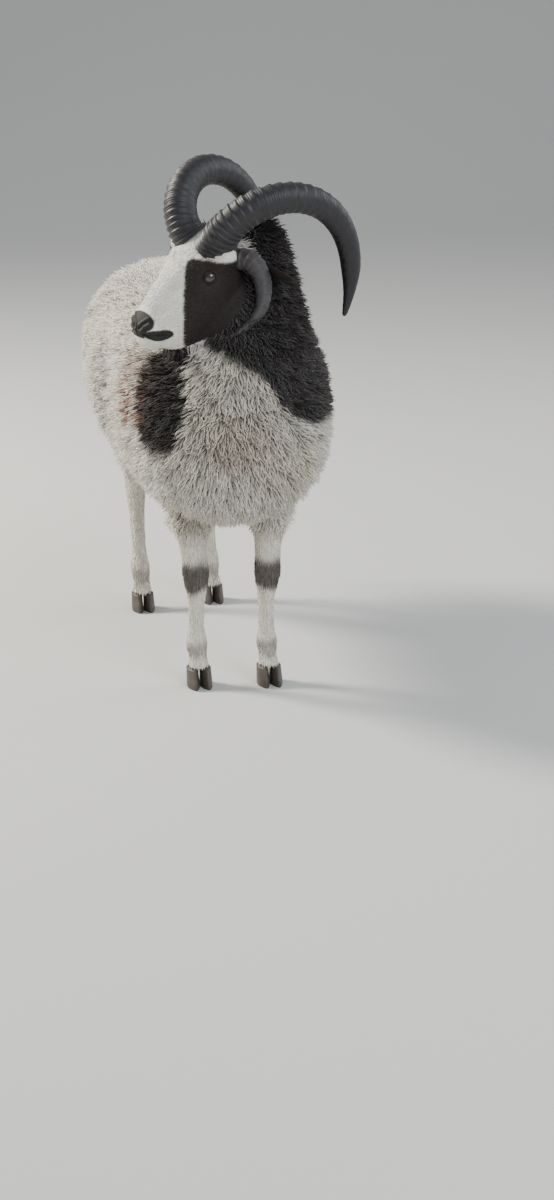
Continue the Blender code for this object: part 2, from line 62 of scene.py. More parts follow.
# %% Section tables of the animal, in metres
TRUNK = (
    (-0.475, 0.49, 0.61, 0.075),
    (-0.455, 0.43, 0.67, 0.130),
    (-0.410, 0.38, 0.73, 0.178),
    (-0.330, 0.345, 0.80, 0.208),
    (-0.220, 0.335, 0.835, 0.220),
    (-0.060, 0.345, 0.83, 0.224),
    (0.100, 0.355, 0.82, 0.224),
    (0.250, 0.385, 0.82, 0.216),
    (0.360, 0.42, 0.81, 0.200),
    (0.440, 0.46, 0.78, 0.165),
    (0.490, 0.52, 0.73, 0.110),
    (0.510, 0.58, 0.68, 0.050),
)
NECK = (
    (0.000, -0.255, 0.560, 0.165, 0.175, 0),
    (0.000, -0.285, 0.660, 0.178, 0.180, 5),
    (0.006, -0.310, 0.745, 0.154, 0.166, 20),
    (0.010, -0.322, 0.820, 0.120, 0.142, 40),
    (0.012, -0.322, 0.885, 0.094, 0.116, 55),
    (0.014, -0.318, 0.938, 0.068, 0.088, 63),
    (0.016, -0.312, 0.970, 0.028, 0.042, 63),
)
TAIL = (
    (0.470, 0.700, 0.034, 0.030),
    (0.505, 0.690, 0.040, 0.032),
    (0.528, 0.640, 0.042, 0.034),
    (0.534, 0.560, 0.040, 0.032),
    (0.532, 0.480, 0.034, 0.028),
    (0.526, 0.410, 0.024, 0.020),
    (0.522, 0.380, 0.010, 0.008),
)
HEAD = (
    (-0.120, -0.045, -0.100, -0.158, 0.038, 0.0),
    (-0.098, -0.022, -0.078, -0.195, 0.053, 0.1),
    (-0.060, 0.002, -0.042, -0.224, 0.066, 0.25),
    (-0.020, 0.012, -0.008, -0.233, 0.073, 0.35),
    (0.016, 0.006, 0.020, -0.233, 0.073, 0.40),
    (0.042, -0.014, 0.046, -0.227, 0.067, 0.35),
    (0.068, -0.041, 0.070, -0.220, 0.057, 0.25),
    (0.092, -0.070, 0.089, -0.214, 0.048, 0.10),
    (0.115, -0.097, 0.106, -0.211, 0.042, 0.0),
    (0.136, -0.121, 0.120, -0.210, 0.039, -0.05),
    (0.149, -0.139, 0.130, -0.206, 0.036, -0.05),
    (0.157, -0.155, 0.138, -0.200, 0.029, -0.05),
    (0.158, -0.168, 0.143, -0.192, 0.016, 0.0),
)
FORE_LEG = (
    (0.014, -0.262, 0.480, 0.046, 0.058),
    (0.012, -0.268, 0.400, 0.041, 0.050),
    (0.008, -0.276, 0.330, 0.033, 0.039),
    (0.004, -0.283, 0.275, 0.0285, 0.031),
    (0.002, -0.286, 0.240, 0.0295, 0.031),
    (0.001, -0.285, 0.212, 0.0255, 0.026),
    (0.000, -0.282, 0.180, 0.0195, 0.0205),
    (0.000, -0.281, 0.120, 0.0185, 0.0200),
    (0.000, -0.283, 0.088, 0.0240, 0.0250),
    (0.000, -0.292, 0.062, 0.0205, 0.0220),
    (0.000, -0.300, 0.040, 0.0250, 0.0270),
)
HIND_LEG = (
    (-0.010, 0.235, 0.520, 0.058, 0.085),
    (-0.006, 0.262, 0.440, 0.050, 0.066),
    (-0.002, 0.300, 0.370, 0.036, 0.046),
    (0.000, 0.331, 0.318, 0.028, 0.037),
    (0.000, 0.342, 0.290, 0.0265, 0.035),
    (0.000, 0.341, 0.258, 0.0235, 0.028),
    (0.000, 0.333, 0.215, 0.0200, 0.0225),
    (0.000, 0.316, 0.140, 0.0185, 0.0205),
    (0.000, 0.306, 0.095, 0.0240, 0.0250),
    (0.000, 0.293, 0.066, 0.0205, 0.0220),
    (0.000, 0.284, 0.040, 0.0250, 0.0270),
)
LEG_X = {"fore": 0.073, "hind": 0.086}
STEP = {"fore_left": 0.012, "fore_right": -0.010, "hind_left": -0.018, "hind_right": 0.012}
LEG_ROWS = {"fore": FORE_LEG, "hind": HIND_LEG}
LEGS = [(pair, side) for pair in LEG_ROWS for side in SIDES]
HEAD_AT = Vector((-0.064, -0.374, 0.943))
HEAD_TURN = 63.0
HEAD_ROLL = 8.0
EYE_RADIUS = 0.0135
EYE_AT = (0.036, 0.0585, -0.062)
print(len(TRUNK) + len(NECK) + len(HEAD) + len(FORE_LEG) + len(HIND_LEG) + len(TAIL), "sections")

# %% The head's own axes, and how far the solids were moved
def head_axes():
    a, r = math.radians(HEAD_TURN), math.radians(HEAD_ROLL)
    forward = Vector((-math.sin(a), -math.cos(a), 0))
    up = Vector((0, 0, 1))
    left = up.cross(forward)
    turned = Matrix((forward, left * math.cos(r) - up * math.sin(r), up * math.cos(r) + left * math.sin(r)))
    return Matrix.Translation(HEAD_AT) @ turned.transposed().to_4x4()


def heel_of(pair, side):
    """How far back a foot's heel is, before the solids were moved."""
    rows = LEG_ROWS[pair]
    share = 1 - rows[-1][2] / rows[0][2]
    return rows[-1][1] - STEP[f"{pair}_{side}"] * share + 0.024


_, left_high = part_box("hoof_fore_left_outer")
right_low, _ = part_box("hoof_fore_right_outer")
SHIFT = Vector(((left_high[0] + right_low[0]) / 2, left_high[1] - heel_of("fore", "left"), 0.0))
HEAD_FRAME = Matrix.Translation(SHIFT) @ head_axes()
HEAD_BACK = HEAD_FRAME.inverted()
print("solids were moved by", [round(v, 4) for v in SHIFT])

# %% [markdown]
# A loft is a tube through closed sections. The flesh under the fleece is the same loft as the solid's,
# set in by the depth of the wool, and the lofts of trunk, neck, head, legs and tail overlap where
# they join.

# %% Lofts through the sections
def smoothstep(low, high, value):
    t = max(0.0, min(1.0, (value - low) / (high - low)))
    return t * t * (3 - 2 * t)


def soft_hill(distance, reach):
    """One at no distance, and next to nothing two reaches away."""
    return math.exp(-(distance / reach) ** 2)


def smooth_rows(rows, per_span):
    """Rows of numbers on a Catmull-Rom curve through the given rows."""
    out = []
    for i in range(len(rows) - 1):
        before, a, b = rows[max(i - 1, 0)], rows[i], rows[i + 1]
        after = rows[min(i + 2, len(rows) - 1)]
        for step in range(per_span):
            t = step / per_span
            out.append(tuple(
                0.5 * (2 * q + (r - p) * t + (2 * p - 5 * q + 4 * r - s) * t ** 2
                       + (3 * q - p - 3 * r + s) * t ** 3)
                for p, q, r, s in zip(before, a, b, after)))
    out.append(tuple(rows[-1]))
    return out


def circle(count):
    """Cosine and sine of evenly spaced angles, once round."""
    angles = [2 * math.pi * i / count for i in range(count)]
    return [(math.cos(a), math.sin(a)) for a in angles]


def square_to(arm, line):
    """The part of an arm at right angles to a line of length one, made one long."""
    return (arm - line * arm.dot(line)).normalized()


def oval(centre, across, along, count, power=2.0):
    points = []
    for c, s in circle(count):
        u = math.copysign(abs(c) ** (2 / power), c)
        v = math.copysign(abs(s) ** (2 / power), s)
        points.append(centre + across * u + along * v)
    return points


def loft_into(bm, rings):
    """Adds a closed tube through rings to a mesh."""
    rows = [[bm.verts.new(p) for p in ring] for ring in rings]
    count = len(rings[0])
    for low, high in zip(rows, rows[1:]):
        for i in range(count):
            j = (i + 1) % count
            bm.faces.new((low[i], low[j], high[j], high[i]))
    for ring in (rows[0], rows[-1]):
        middle = bm.verts.new(sum((v.co for v in ring), Vector()) / count)
        for i in range(count):
            bm.faces.new((ring[i], ring[(i + 1) % count], middle))


def finish_mesh(name, bm):
    bmesh.ops.recalc_face_normals(bm, faces=bm.faces)
    mesh = bpy.data.meshes.new(name)
    bm.to_mesh(mesh)
    bm.free()
    mesh.shade_smooth()
    obj = bpy.data.objects.new(name, mesh)
    bpy.context.scene.collection.objects.link(obj)
    return obj


def loft(name, rings):
    bm = bmesh.new()
    loft_into(bm, rings)
    return finish_mesh(name, bm)


# %% Sections of each part, set in by a depth
TRUNK_DEPTH = 0.022
NECK_DEPTH = 0.020
TAIL_DEPTH = 0.016
LEG_DEPTH = 0.0025
FACE_DEPTH = 0.0015


def trunk_rings(depth):
    middle = (TRUNK[0][0] + TRUNK[-1][0]) / 2
    half_length = (TRUNK[-1][0] - TRUNK[0][0]) / 2
    rings = []
    for y, low, high, half in smooth_rows(TRUNK, 5):
        centre = Vector((0, y - (y - middle) / half_length * depth, (low + high) / 2)) + SHIFT
        rings.append(oval(centre, Vector((max(half - depth, 0.02), 0, 0)),
                          Vector((0, 0, max((high - low) / 2 - depth, 0.02))), 64, 2.25))
    return rings


def neck_rings(depth):
    rings = []
    for x, y, z, half, deep, turn in smooth_rows(NECK, 6):
        a = math.radians(turn)
        forward = Vector((-math.sin(a), -math.cos(a), -0.30))
        left = Vector((math.cos(a), -math.sin(a), 0))
        rings.append(oval(Vector((x, y, z)) + SHIFT, left * max(half - depth, 0.012),
                          forward * max(deep - depth, 0.016), 56))
    return rings


def tail_rings(depth):
    rings = []
    for y, z, half, deep in smooth_rows(TAIL, 5):
        rings.append(oval(Vector((0, y, z)) + SHIFT, Vector((max(half - depth, 0.006), 0, 0)),
                          Vector((0, max(deep - depth, 0.006), 0.004)), 24))
    return rings


def leg_rings(pair, side, depth):
    rows = LEG_ROWS[pair]
    ahead = STEP[f"{pair}_{side}"]
    rings = []
    for shift, y, z, half, deep in smooth_rows(rows, 5):
        share = 1 - z / rows[0][2]
        centre = Vector((SIDES[side] * (LEG_X[pair] + shift), y - ahead * share, z)) + SHIFT
        rings.append(oval(centre, Vector((half - depth, 0, 0)), Vector((0, deep - depth, 0)), 32))
    return rings


def head_rings(depth):
    rings = []
    for top_f, top_u, low_f, low_u, half, taper in smooth_rows(HEAD, 5):
        top, low = Vector((top_f, 0, top_u)), Vector((low_f, 0, low_u))
        centre, rise = (top + low) / 2, (top - low) / 2
        rise -= rise.normalized() * depth
        ring = []
        for c, s in circle(56):
            v = math.copysign(abs(s) ** 0.9, s)
            u = math.copysign(abs(c) ** 0.85, c) * (1 + taper * v * 0.6)
            ring.append(HEAD_FRAME @ (centre + rise * v + Vector((0, (half - depth) * u, 0))))
        rings.append(ring)
    return rings


# %% [markdown]
# A voxel remesh welds the overlapping lofts into one closed skin with even quads, which is how clay
# figures are joined before they are carved. A few rounds of smoothing soften the creases in the
# armpits and at the throat.

# %% One skin over all the flesh
VOXEL = 0.006


def evaluated_copy(obj):
    graph = bpy.context.evaluated_depsgraph_get()
    return bpy.data.meshes.new_from_object(obj.evaluated_get(graph))


def apply_modifiers(obj):
    mesh = evaluated_copy(obj)
    obj.modifiers.clear()
    obj.data = mesh
    return obj


flesh = bmesh.new()
loft_into(flesh, trunk_rings(TRUNK_DEPTH))
loft_into(flesh, neck_rings(NECK_DEPTH))
loft_into(flesh, tail_rings(TAIL_DEPTH))
loft_into(flesh, head_rings(FACE_DEPTH))
for pair, side in LEGS:
    loft_into(flesh, leg_rings(pair, side, LEG_DEPTH))
skin = finish_mesh("skin", flesh)
weld = skin.modifiers.new("weld", "REMESH")
weld.mode = "VOXEL"
weld.voxel_size = VOXEL
soften = skin.modifiers.new("soften", "SMOOTH")
soften.factor = 0.5
soften.iterations = 6
apply_modifiers(skin)
skin.data.shade_smooth()
print("skin has", len(skin.data.polygons), "faces")

# %% [markdown]
# The face needs finer clay than the rump. Its faces are split once all over the head and once more
# round the eyes, nostrils and mouth. Then each point is moved by simple rules in the head's own
# axes: forward, left and up. A rule is a soft bump or dent with a centre, a reach and a height.

# %% Finer faces on the head
def head_place(point):
    return HEAD_BACK @ point


def near_detail(p):
    """True close to an eye, a nostril or the mouth."""
    side = abs(p.y)
    eye = (p - Vector((EYE_AT[0], math.copysign(EYE_AT[1], p.y), EYE_AT[2]))).length < 0.030
    muzzle = p.x > 0.105 and p.z < -0.095
    mouth = 0.090 < p.x and -0.210 < p.z < -0.165 and side < 0.06
    return eye or muzzle or mouth


def split_faces(bm, wanted):
    edges = set()
    for face in bm.faces:
        if wanted(head_place(face.calc_center_median())):
            edges.update(face.edges)
    bmesh.ops.subdivide_edges(bm, edges=list(edges), cuts=1, use_grid_fill=True, smooth=0.0)


def is_head(p):
    return -0.075 < p.x < 0.21 and abs(p.y) < 0.10 and -0.235 < p.z < 0.03


bm = bmesh.new()
bm.from_mesh(skin.data)
split_faces(bm, is_head)
split_faces(bm, near_detail)
print("skin with its fine face has", len(bm.faces), "faces")

# %% [markdown]
# A sheep's eye sits on the side of the skull in a rounded lid. Here each point near an eye keeps to a
# ball a little larger than the eyeball, except inside the almond opening, where it dives behind it.
# The nostrils are slanting commas, and the mouth is a long, nearly level groove.

# %% Carving the face
EYE_FRAME = {}
for side, sign in SIDES.items():
    centre = Vector((EYE_AT[0], EYE_AT[1] * sign, EYE_AT[2]))
    outward = Vector((0.30, sign * 0.93, 0.20)).normalized()
    ahead = square_to(Vector((0.80, 0.0, -0.60)), outward)
    EYE_FRAME[side] = (centre, outward, ahead, outward.cross(ahead) * sign)

BUMPS = (
    # centre forward, left, up; reach; height out of the surface
    ((0.018, 0.062, -0.042), 0.018, 0.0040),  # brow
    ((0.006, 0.066, -0.022), 0.023, 0.0240),  # swelling under the upper horn
    ((0.050, 0.054, -0.050), 0.013, 0.0022),  # front end of the brow
    ((0.078, 0.046, -0.084), 0.020, -0.0035),  # hollow before the eye
    ((0.052, 0.056, -0.094), 0.022, 0.0030),  # cheekbone
    ((0.010, 0.074, -0.140), 0.040, 0.0050),  # muscle of the jaw
    ((0.088, 0.044, -0.142), 0.026, -0.0035),  # hollow of the cheek
    ((0.094, 0.016, -0.086), 0.030, 0.0020),  # side of the nose
    ((0.145, 0.026, -0.150), 0.011, 0.0030),  # wing of the nostril
    ((0.132, 0.036, -0.164), 0.012, 0.0030),  # upper lip
    ((0.130, 0.030, -0.186), 0.012, 0.0026),  # lower lip
    ((0.134, 0.010, -0.204), 0.016, 0.0045),  # chin
    ((0.118, 0.000, -0.100), 0.030, 0.0030),  # bridge of the nose
)
NOSTRIL = ((0.160, 0.008, -0.164), (0.158, 0.015, -0.155), (0.150, 0.024, -0.147), (0.141, 0.029, -0.146))
MOUTH = ((0.160, 0.000, -0.178), (0.154, 0.015, -0.176), (0.144, 0.028, -0.174), (0.128, 0.037, -0.1735),
         (0.106, 0.042, -0.176))
LIDS_OPEN = {"half_length": 0.0126, "upper": 0.0068, "lower": 0.0060}
LID_THICKNESS, SOCKET_DEPTH = 0.0020, 0.0035


def near_path(p, path):
    """Distance from a point to a broken line, and how far along it the nearest point is."""
    best, along = 1.0, 0.0
    for i, (a, b) in enumerate(zip(path, path[1:])):
        a, b = Vector(a), Vector(b)
        span = b - a
        t = max(0.0, min(1.0, (p - a).dot(span) / span.length_squared))
        gap = (p - a - span * t).length
        if gap < best:
            best, along = gap, (i + t) / (len(path) - 1)
    return best, along


def eye_cover(p, side):
    """Moves a point on to the lids, or behind the eyeball within the opening."""
    centre, outward, ahead, across = EYE_FRAME[side]
    arm = p - centre
    distance = arm.length
    if distance > 0.032 or arm.dot(outward) < -0.004:
        return p
    u, v = arm.dot(ahead), arm.dot(across)
    half_height = LIDS_OPEN["upper" if v > 0 else "lower"]
    opening = (abs(u) / LIDS_OPEN["half_length"]) ** 2.0 + (v / half_height) ** 2.0
    on_ball = centre + arm.normalized() * (EYE_RADIUS + LID_THICKNESS)
    if opening < 1.0:
        sunk = centre + arm.normalized() * (EYE_RADIUS - SOCKET_DEPTH)
        share = min(1.0, (1.0 - opening) / 0.22)
        return on_ball.lerp(sunk, share)
    on_ball += arm.normalized() * soft_hill(opening - 1.25, 0.35) * 0.0016
    return on_ball.lerp(p, smoothstep(0.0150, 0.0270, distance))


bm.normal_update()
moved = {}
for vert in bm.verts:
    p = head_place(vert.co)
    if not (p.x > -0.09 and abs(p.y) < 0.11 and -0.25 < p.z < 0.05):
        continue
    side = "left" if p.y > 0 else "right"
    mirrored = Vector((p.x, abs(p.y), p.z))
    normal = (HEAD_BACK.to_3x3() @ vert.normal).normalized()
    height = 0.0
    for centre, reach, rise in BUMPS:
        height += rise * soft_hill((mirrored - Vector(centre)).length, reach)
    gap, along = near_path(mirrored, NOSTRIL)
    height -= 0.0075 * soft_hill(gap, 0.0030) * (1 - 0.45 * along)
    height += 0.0016 * soft_hill(gap - 0.0070, 0.0026)
    gap, along = near_path(mirrored, MOUTH)
    height -= 0.0042 * soft_hill(gap, 0.0024) * (1 - 0.4 * along)
    height += 0.0018 * soft_hill(gap - 0.0070, 0.0036)
    if mirrored.x > 0.14 and mirrored.y < 0.010:
        height -= 0.0025 * soft_hill(mirrored.y, 0.0016) * soft_hill(mirrored.z + 0.172, 0.009)
    p = eye_cover(p + normal * height, side)
    moved[vert] = HEAD_FRAME @ p
for vert, place in moved.items():
    vert.co = place
bmesh.ops.recalc_face_normals(bm, faces=bm.faces)
bm.to_mesh(skin.data)
bm.free()
skin.data.shade_smooth()
print("carved", len(moved), "points")

# %% [markdown]
# A Jacob sheep is white with black-brown patches. The dark neck ends at a line across the chest, and
# each other patch on the body is a stretched ball in space. Noise ruffles every edge. The colour of
# each skin point is kept in an attribute, and every lock of wool takes the colour at its root.

# %% Where the coat is dark
WHITE = Vector((0.80, 0.77, 0.70))
CREAM = Vector((0.70, 0.62, 0.48))
DARK = Vector((0.020, 0.014, 0.013))
SLATE = Vector((0.055, 0.050, 0.050))

# The lower edge of the dark wool on the neck, seen from the front: place across, height.
NECK_EDGE = ((-0.105, 0.820), (-0.085, 0.752), (-0.045, 0.728), (-0.018, 0.709), (0.018, 0.682),
             (0.049, 0.640), (0.076, 0.603), (0.109, 0.583), (0.250, 0.575))
DARK_PATCHES_AND_PAINTED_SHADE = (
    # middle, half sizes, how dark, how grizzled with white
    ((-0.150, -0.368, 0.632), (0.047, 0.068, 0.118), 1.0, 0.0),  # right shoulder
    # the patch right of the throat is partly dark wool and partly painted shade under the jaw
    ((-0.124, -0.366, 0.722), (0.036, 0.046, 0.024), 1.0, 0.0),  # right of the throat
    ((-0.215, 0.000, 0.585), (0.060, 0.110, 0.115), 0.9, 1.0),  # right flank
    ((-0.185, 0.260, 0.670), (0.080, 0.110, 0.060), 0.5, 1.0),  # right hip
    ((-0.200, 0.330, 0.480), (0.100, 0.110, 0.090), 0.9, 0.5),  # right thigh
    ((0.220, 0.180, 0.700), (0.120, 0.160, 0.120), 1.0, 0.1),  # left flank
    ((0.000, 0.480, 0.720), (0.110, 0.080, 0.090), 1.0, 0.1),  # rump
)
RUST = Vector((0.230, 0.085, 0.045))
# The sun-bleached fringe behind the patch on the right shoulder: middle and half sizes.
RUSTY_FRINGE = ((-0.185, -0.270, 0.620), (0.045, 0.070, 0.095))
STAIN = ((-0.010, -0.450, 0.550), (0.085, 0.080, 0.060))


def body_darkness(point):
    place = point - SHIFT
    ruffle = noise.noise(place * 14.0) * 0.16 + noise.noise(place * 45.0) * 0.07
    across, heights = zip(*NECK_EDGE)
    # behind the shoulder the edge rises in a curve, and the back edge wanders
    rise = 1.6 * max(0.0, place.y + 0.32) ** 1.5
    above = place.z + ruffle * 0.06 - rise - float(np.interp(place.x, across, heights))
    wander = ruffle * 0.10 + 0.05 * noise.noise(place * 6.0)
    behind = place.y + wander + 0.11 - 0.5 * max(0.0, place.z - 0.80)
    dark = smoothstep(-0.008, 0.008, above) * smoothstep(0.012, -0.012, behind)
    speckle = smoothstep(-0.05, 0.25, noise.noise(place * 95.0))
    for middle, sizes, strength, grizzle in DARK_PATCHES_AND_PAINTED_SHADE:
        gap = patch_gap(place, middle, sizes)
        dark = max(dark, strength * smoothstep(1.12, 0.90, gap + ruffle) * (1 - grizzle + grizzle * speckle))
    return dark


def patch_gap(place, middle, sizes):
    """How far out a place is in a patch: nothing at the middle, one at the edge."""
    return Vector((place[i] - middle[i]) / sizes[i] for i in range(3)).length


def body_colour(point):
    """White or dark wool, with the rusty fringe and the faint stain on the chest."""
    place = point - SHIFT
    white = WHITE.lerp(CREAM, 0.25 + 0.5 * noise.noise(place * 9.0))
    stain = 0.30 * smoothstep(1.2, 0.3, patch_gap(place, *STAIN))
    colour = white.lerp(Vector((0.50, 0.33, 0.24)), stain).lerp(DARK, body_darkness(point))
    rusty = smoothstep(1.15, 0.55, patch_gap(place, *RUSTY_FRINGE) + 0.5 * noise.noise(place * 30.0))
    return colour.lerp(RUST, rusty * smoothstep(-0.20, 0.15, noise.noise(place * 80.0)))


def face_colour(p):
    """Colour on the head, in its own axes."""
    side = abs(p.y)
    ruffle = noise.noise(p * 60.0) * 0.004 + noise.noise(p * 220.0) * 0.0015
    edge = 0.0492 + 0.782 * side - 0.10 * max(0.0, -0.10 - p.z) - 0.055 * smoothstep(0.02, 0.04, -p.y)
    white = smoothstep(-0.003, 0.004, p.x - edge + ruffle)
    white = max(white, smoothstep(0.026, 0.018, side + ruffle * 2) * smoothstep(-0.03, -0.01, p.x))
    chin = smoothstep(-0.190, -0.196, p.z + ruffle * 0.6) * smoothstep(0.07, 0.10, p.x)
    band = smoothstep(-0.034, -0.027, p.z + 0.06 * (p.x - 0.02) + ruffle) * smoothstep(-0.06, -0.03, p.x)
    white = max(white, chin, band)
    colour = DARK.lerp(WHITE, white)
    pad = Vector(((p.x - 0.161) / 0.029, side / 0.044, (p.z + 0.151) / 0.021)).length
    front = Vector(((p.x - 0.163) / 0.020, side / 0.030, (p.z + 0.168) / 0.028)).length
    lips = Vector(((p.x - 0.128) / 0.029, (p.z + 0.1735) / 0.0115, 0.0)).length + max(0.0, 0.02 - side) * 30
    dark = max(smoothstep(1.06, 0.94, shape + ruffle * 12) for shape in (pad, front, lips))
    return colour.lerp(SLATE * 0.40, dark)


def leg_colour(place):
    """White legs with dark knees in front, one dark hock behind and greyish fetlocks."""
    ruffle = noise.noise(place * 40.0) * 0.012
    if place.y > 0:
        knee = 0.8 * smoothstep(0.05, 0.03, abs(place.z - 0.30) + ruffle) * (place.x > 0)
    else:
        knee = smoothstep(0.195, 0.215, place.z + ruffle) * smoothstep(0.278, 0.258, place.z + ruffle)
    fetlock = 0.5 * smoothstep(0.10, 0.085, place.z + ruffle) * smoothstep(0.05, 0.07, place.z + ruffle)
    colour = WHITE.lerp(CREAM, 0.25)
    return colour.lerp(Vector((0.070, 0.056, 0.052)), 0.92 * max(knee, fetlock))


# %% [markdown]
# Wool grows longer on the body than on the legs and face. A mask says how woolly each skin point is,
# a second attribute how long the locks are, and a third which way they point. Body wool leans back
# and down, and gathers towards the middle of the clump it belongs to, which gives the fleece its
# soft lumps.

# %% What part of the animal each skin point belongs to
def ring_line(rings):
    """Middles and mean radii of a part's sections."""
    line = []
    for ring in rings:
        centre = sum(ring, Vector()) / len(ring)
        line.append((*centre, sum((p - centre).length for p in ring) / len(ring)))
    return line


PARTS = {
    "trunk": ring_line(trunk_rings(TRUNK_DEPTH))[2:-2],
    "neck": ring_line(neck_rings(NECK_DEPTH))[2:-3],
    "tail": ring_line(tail_rings(TAIL_DEPTH))[7:-1],
    "head": ring_line(head_rings(FACE_DEPTH))[2:-2],
}
for pair, side in LEGS:
    PARTS[f"leg_{pair}_{side}"] = ring_line(leg_rings(pair, side, LEG_DEPTH))[8:]
PART_NAMES = list(PARTS)
centres = np.array([row for line in PARTS.values() for row in line])
part_of_centre = np.array([i for i, line in enumerate(PARTS.values()) for _ in line])


def array_of(data, name, width):
    values = np.empty(len(data) * width, dtype=np.float32)
    data.foreach_get(name, values)
    return values.reshape(-1, width)


points = array_of(skin.data.vertices, "co", 3)
normals = array_of(skin.data.vertices, "normal", 3)
part = np.empty(len(points), int)
CHUNK = 8000  # points measured at a time, to save memory
for start in range(0, len(points), CHUNK):
    some = points[start:start + CHUNK]
    gaps = np.linalg.norm(some[:, None, :] - centres[None, :, :3], axis=2) / centres[None, :, 3]
    part[start:start + CHUNK] = part_of_centre[gaps.argmin(axis=1)]
print({name: int((part == i).sum()) for i, name in enumerate(PART_NAMES)})

# %% How woolly each point is, and its colour
def to_head(places):
    return places @ np.array(HEAD_BACK.to_3x3()).T + np.array(HEAD_BACK.translation)


in_head = to_head(points)
is_part = {name: part == i for i, name in enumerate(PART_NAMES)}
is_leg = np.isin(part, [i for i, name in enumerate(PART_NAMES) if name.startswith("leg")])


def ramp(low, high, values):
    t = np.clip((values - low) / (high - low), 0, 1)
    return t * t * (3 - 2 * t)


TUFT = ((-0.038, 0.060, -0.012), (0.026, 0.030, 0.026))
wool = np.ones(len(points))
wool[is_leg] = ramp(0.300, 0.385, points[is_leg, 2])
face = is_part["head"]
wool[face] = 1 - ramp(-0.062, -0.030, in_head[face, 0] + 0.25 * (in_head[face, 2] + 0.1))
colours = np.ones((len(points), 4))
for i, place in enumerate(points):
    place = Vector(place)
    body = body_colour(place)
    if face[i]:
        colour = face_colour(Vector(in_head[i])).lerp(body, float(wool[i]))
    elif is_leg[i]:
        colour = leg_colour(place - SHIFT).lerp(body, float(wool[i]))
    else:
        colour = body
    if patch_gap(Vector(in_head[i]), *TUFT) < 1.0:
        colour = WHITE
    colours[i, :3] = colour
print("wool covers", round(float(wool.mean()), 2), "of the skin's points")

# %% Which way the coat lies
LIE = {
    "trunk": (0.0, 0.62, -0.78),
    "neck": (0.0, 0.25, -0.97),
    "tail": (0.0, 0.05, -1.0),
    "leg": (0.0, 0.10, -1.0),
}
lie = np.zeros_like(points)
for name, chosen in is_part.items():
    lie[chosen] = LIE.get(name.split("_")[0], (0, 0, -1))
lie[face] = np.array(HEAD_FRAME.to_3x3() @ Vector((-0.85, 0.0, 0.25)))
lie -= normals * (lie * normals).sum(axis=1, keepdims=True)
lie /= np.maximum(np.linalg.norm(lie, axis=1, keepdims=True), 0.2)

# %% Middles of the wool's clumps, which the locks lean towards, with painted shade at their edges
CLUMP_REACH = 0.032
CLUMP_SEED = 5
rng = random.Random(CLUMP_SEED)
order = [i for i in range(len(points)) if wool[i] > 0.2]
rng.shuffle(order)
taken = {}
clump_middles = []
for i in order:
    cell = tuple(int(math.floor(v / CLUMP_REACH)) for v in points[i])
    near = [taken.get((cell[0] + a, cell[1] + b, cell[2] + c)) for a in (-1, 0, 1) for b in (-1, 0, 1)
            for c in (-1, 0, 1)]
    if any(k is not None and np.linalg.norm(points[k] - points[i]) < CLUMP_REACH for k in near):
        continue
    taken[cell] = i
    clump_middles.append(i)
tree = kdtree.KDTree(len(clump_middles))
for number, i in enumerate(clump_middles):
    tree.insert(points[i], number)
tree.balance()
gather = np.zeros_like(points)
clump_tint_and_painted_shade = np.ones(len(points))
clump_tint = [rng.uniform(0.90, 1.06) for _ in clump_middles]
for i in order:
    middle, number, gap = tree.find(points[i])
    gather[i] = (np.array(middle) - points[i]) / CLUMP_REACH
    # each clump gets a random tint, and painted shade darkens the wool towards its edge, where the clumps
    # meet
    clump_tint_and_painted_shade[i] = clump_tint[number] * (1.04 - 0.22 * min(1.0, gap / (CLUMP_REACH * 0.75)) ** 2)
print(len(clump_middles), "clumps of wool")

# %% The attributes that skin and coat share
WOOL_LIFT = 0.55
HAIR_LIFT = 0.16
WOOL_LENGTH = 0.028
HAIR_LENGTH = 0.007
lift = HAIR_LIFT + (WOOL_LIFT - HAIR_LIFT) * wool
comb = normals * lift[:, None] + lie * (1 - 0.45 * wool)[:, None] + gather * (0.42 * wool)[:, None]
comb /= np.linalg.norm(comb, axis=1, keepdims=True)
length = HAIR_LENGTH + (WOOL_LENGTH - HAIR_LENGTH) * wool
length[is_leg] += 0.004
length[is_part["neck"]] *= 0.95
length[is_part["tail"]] *= 0.72
# the clumps' random tint and their painted shade are multiplied into the coat's colour
colours[:, :3] *= np.where(wool > 0.2, clump_tint_and_painted_shade, 1.0)[:, None]


def give_attribute(mesh, name, kind, domain, values):
    made = mesh.attributes.new(name, kind, domain)
    field = {"FLOAT": "value", "INT": "value", "FLOAT_VECTOR": "vector", "FLOAT_COLOR": "color",
             "FLOAT2": "vector"}[kind]
    made.data.foreach_set(field, np.asarray(values).ravel())


give_attribute(skin.data, "coat_colour", "FLOAT_COLOR", "POINT", colours.astype(np.float32))
give_attribute(skin.data, "comb", "FLOAT_VECTOR", "POINT", comb.astype(np.float32))
give_attribute(skin.data, "coat_length", "FLOAT", "POINT", length.astype(np.float32))
print("longest lock", round(float(length.max()), 3), "m")

# %% [markdown]
# The baked colours of the coat need a flat map of the skin. Each part is unrolled like a label from
# a tin into its own rectangle: round the part one way and along it the other. The seam of each label
# lies under the belly, down the back of the neck or along the back of a leg.

# %% Unrolling the skin
CELLS = {"trunk": (0.01, 0.01, 0.60, 0.60), "neck": (0.62, 0.01, 0.98, 0.34),
         "head": (0.62, 0.36, 0.98, 0.62), "tail": (0.95, 0.66, 0.99, 0.97)}
for k, name in enumerate(n for n in PART_NAMES if n.startswith("leg")):
    CELLS[name] = (0.01 + 0.235 * k, 0.66, 0.225 + 0.235 * k, 0.97)


def angle_round(name, place, middle):
    """Angle round a part's middle line, nothing at the side away from its seam."""
    arm = place - middle
    if name == "trunk":
        return np.arctan2(arm[..., 0], arm[..., 2])
    return np.arctan2(arm[..., 0], -arm[..., 1])


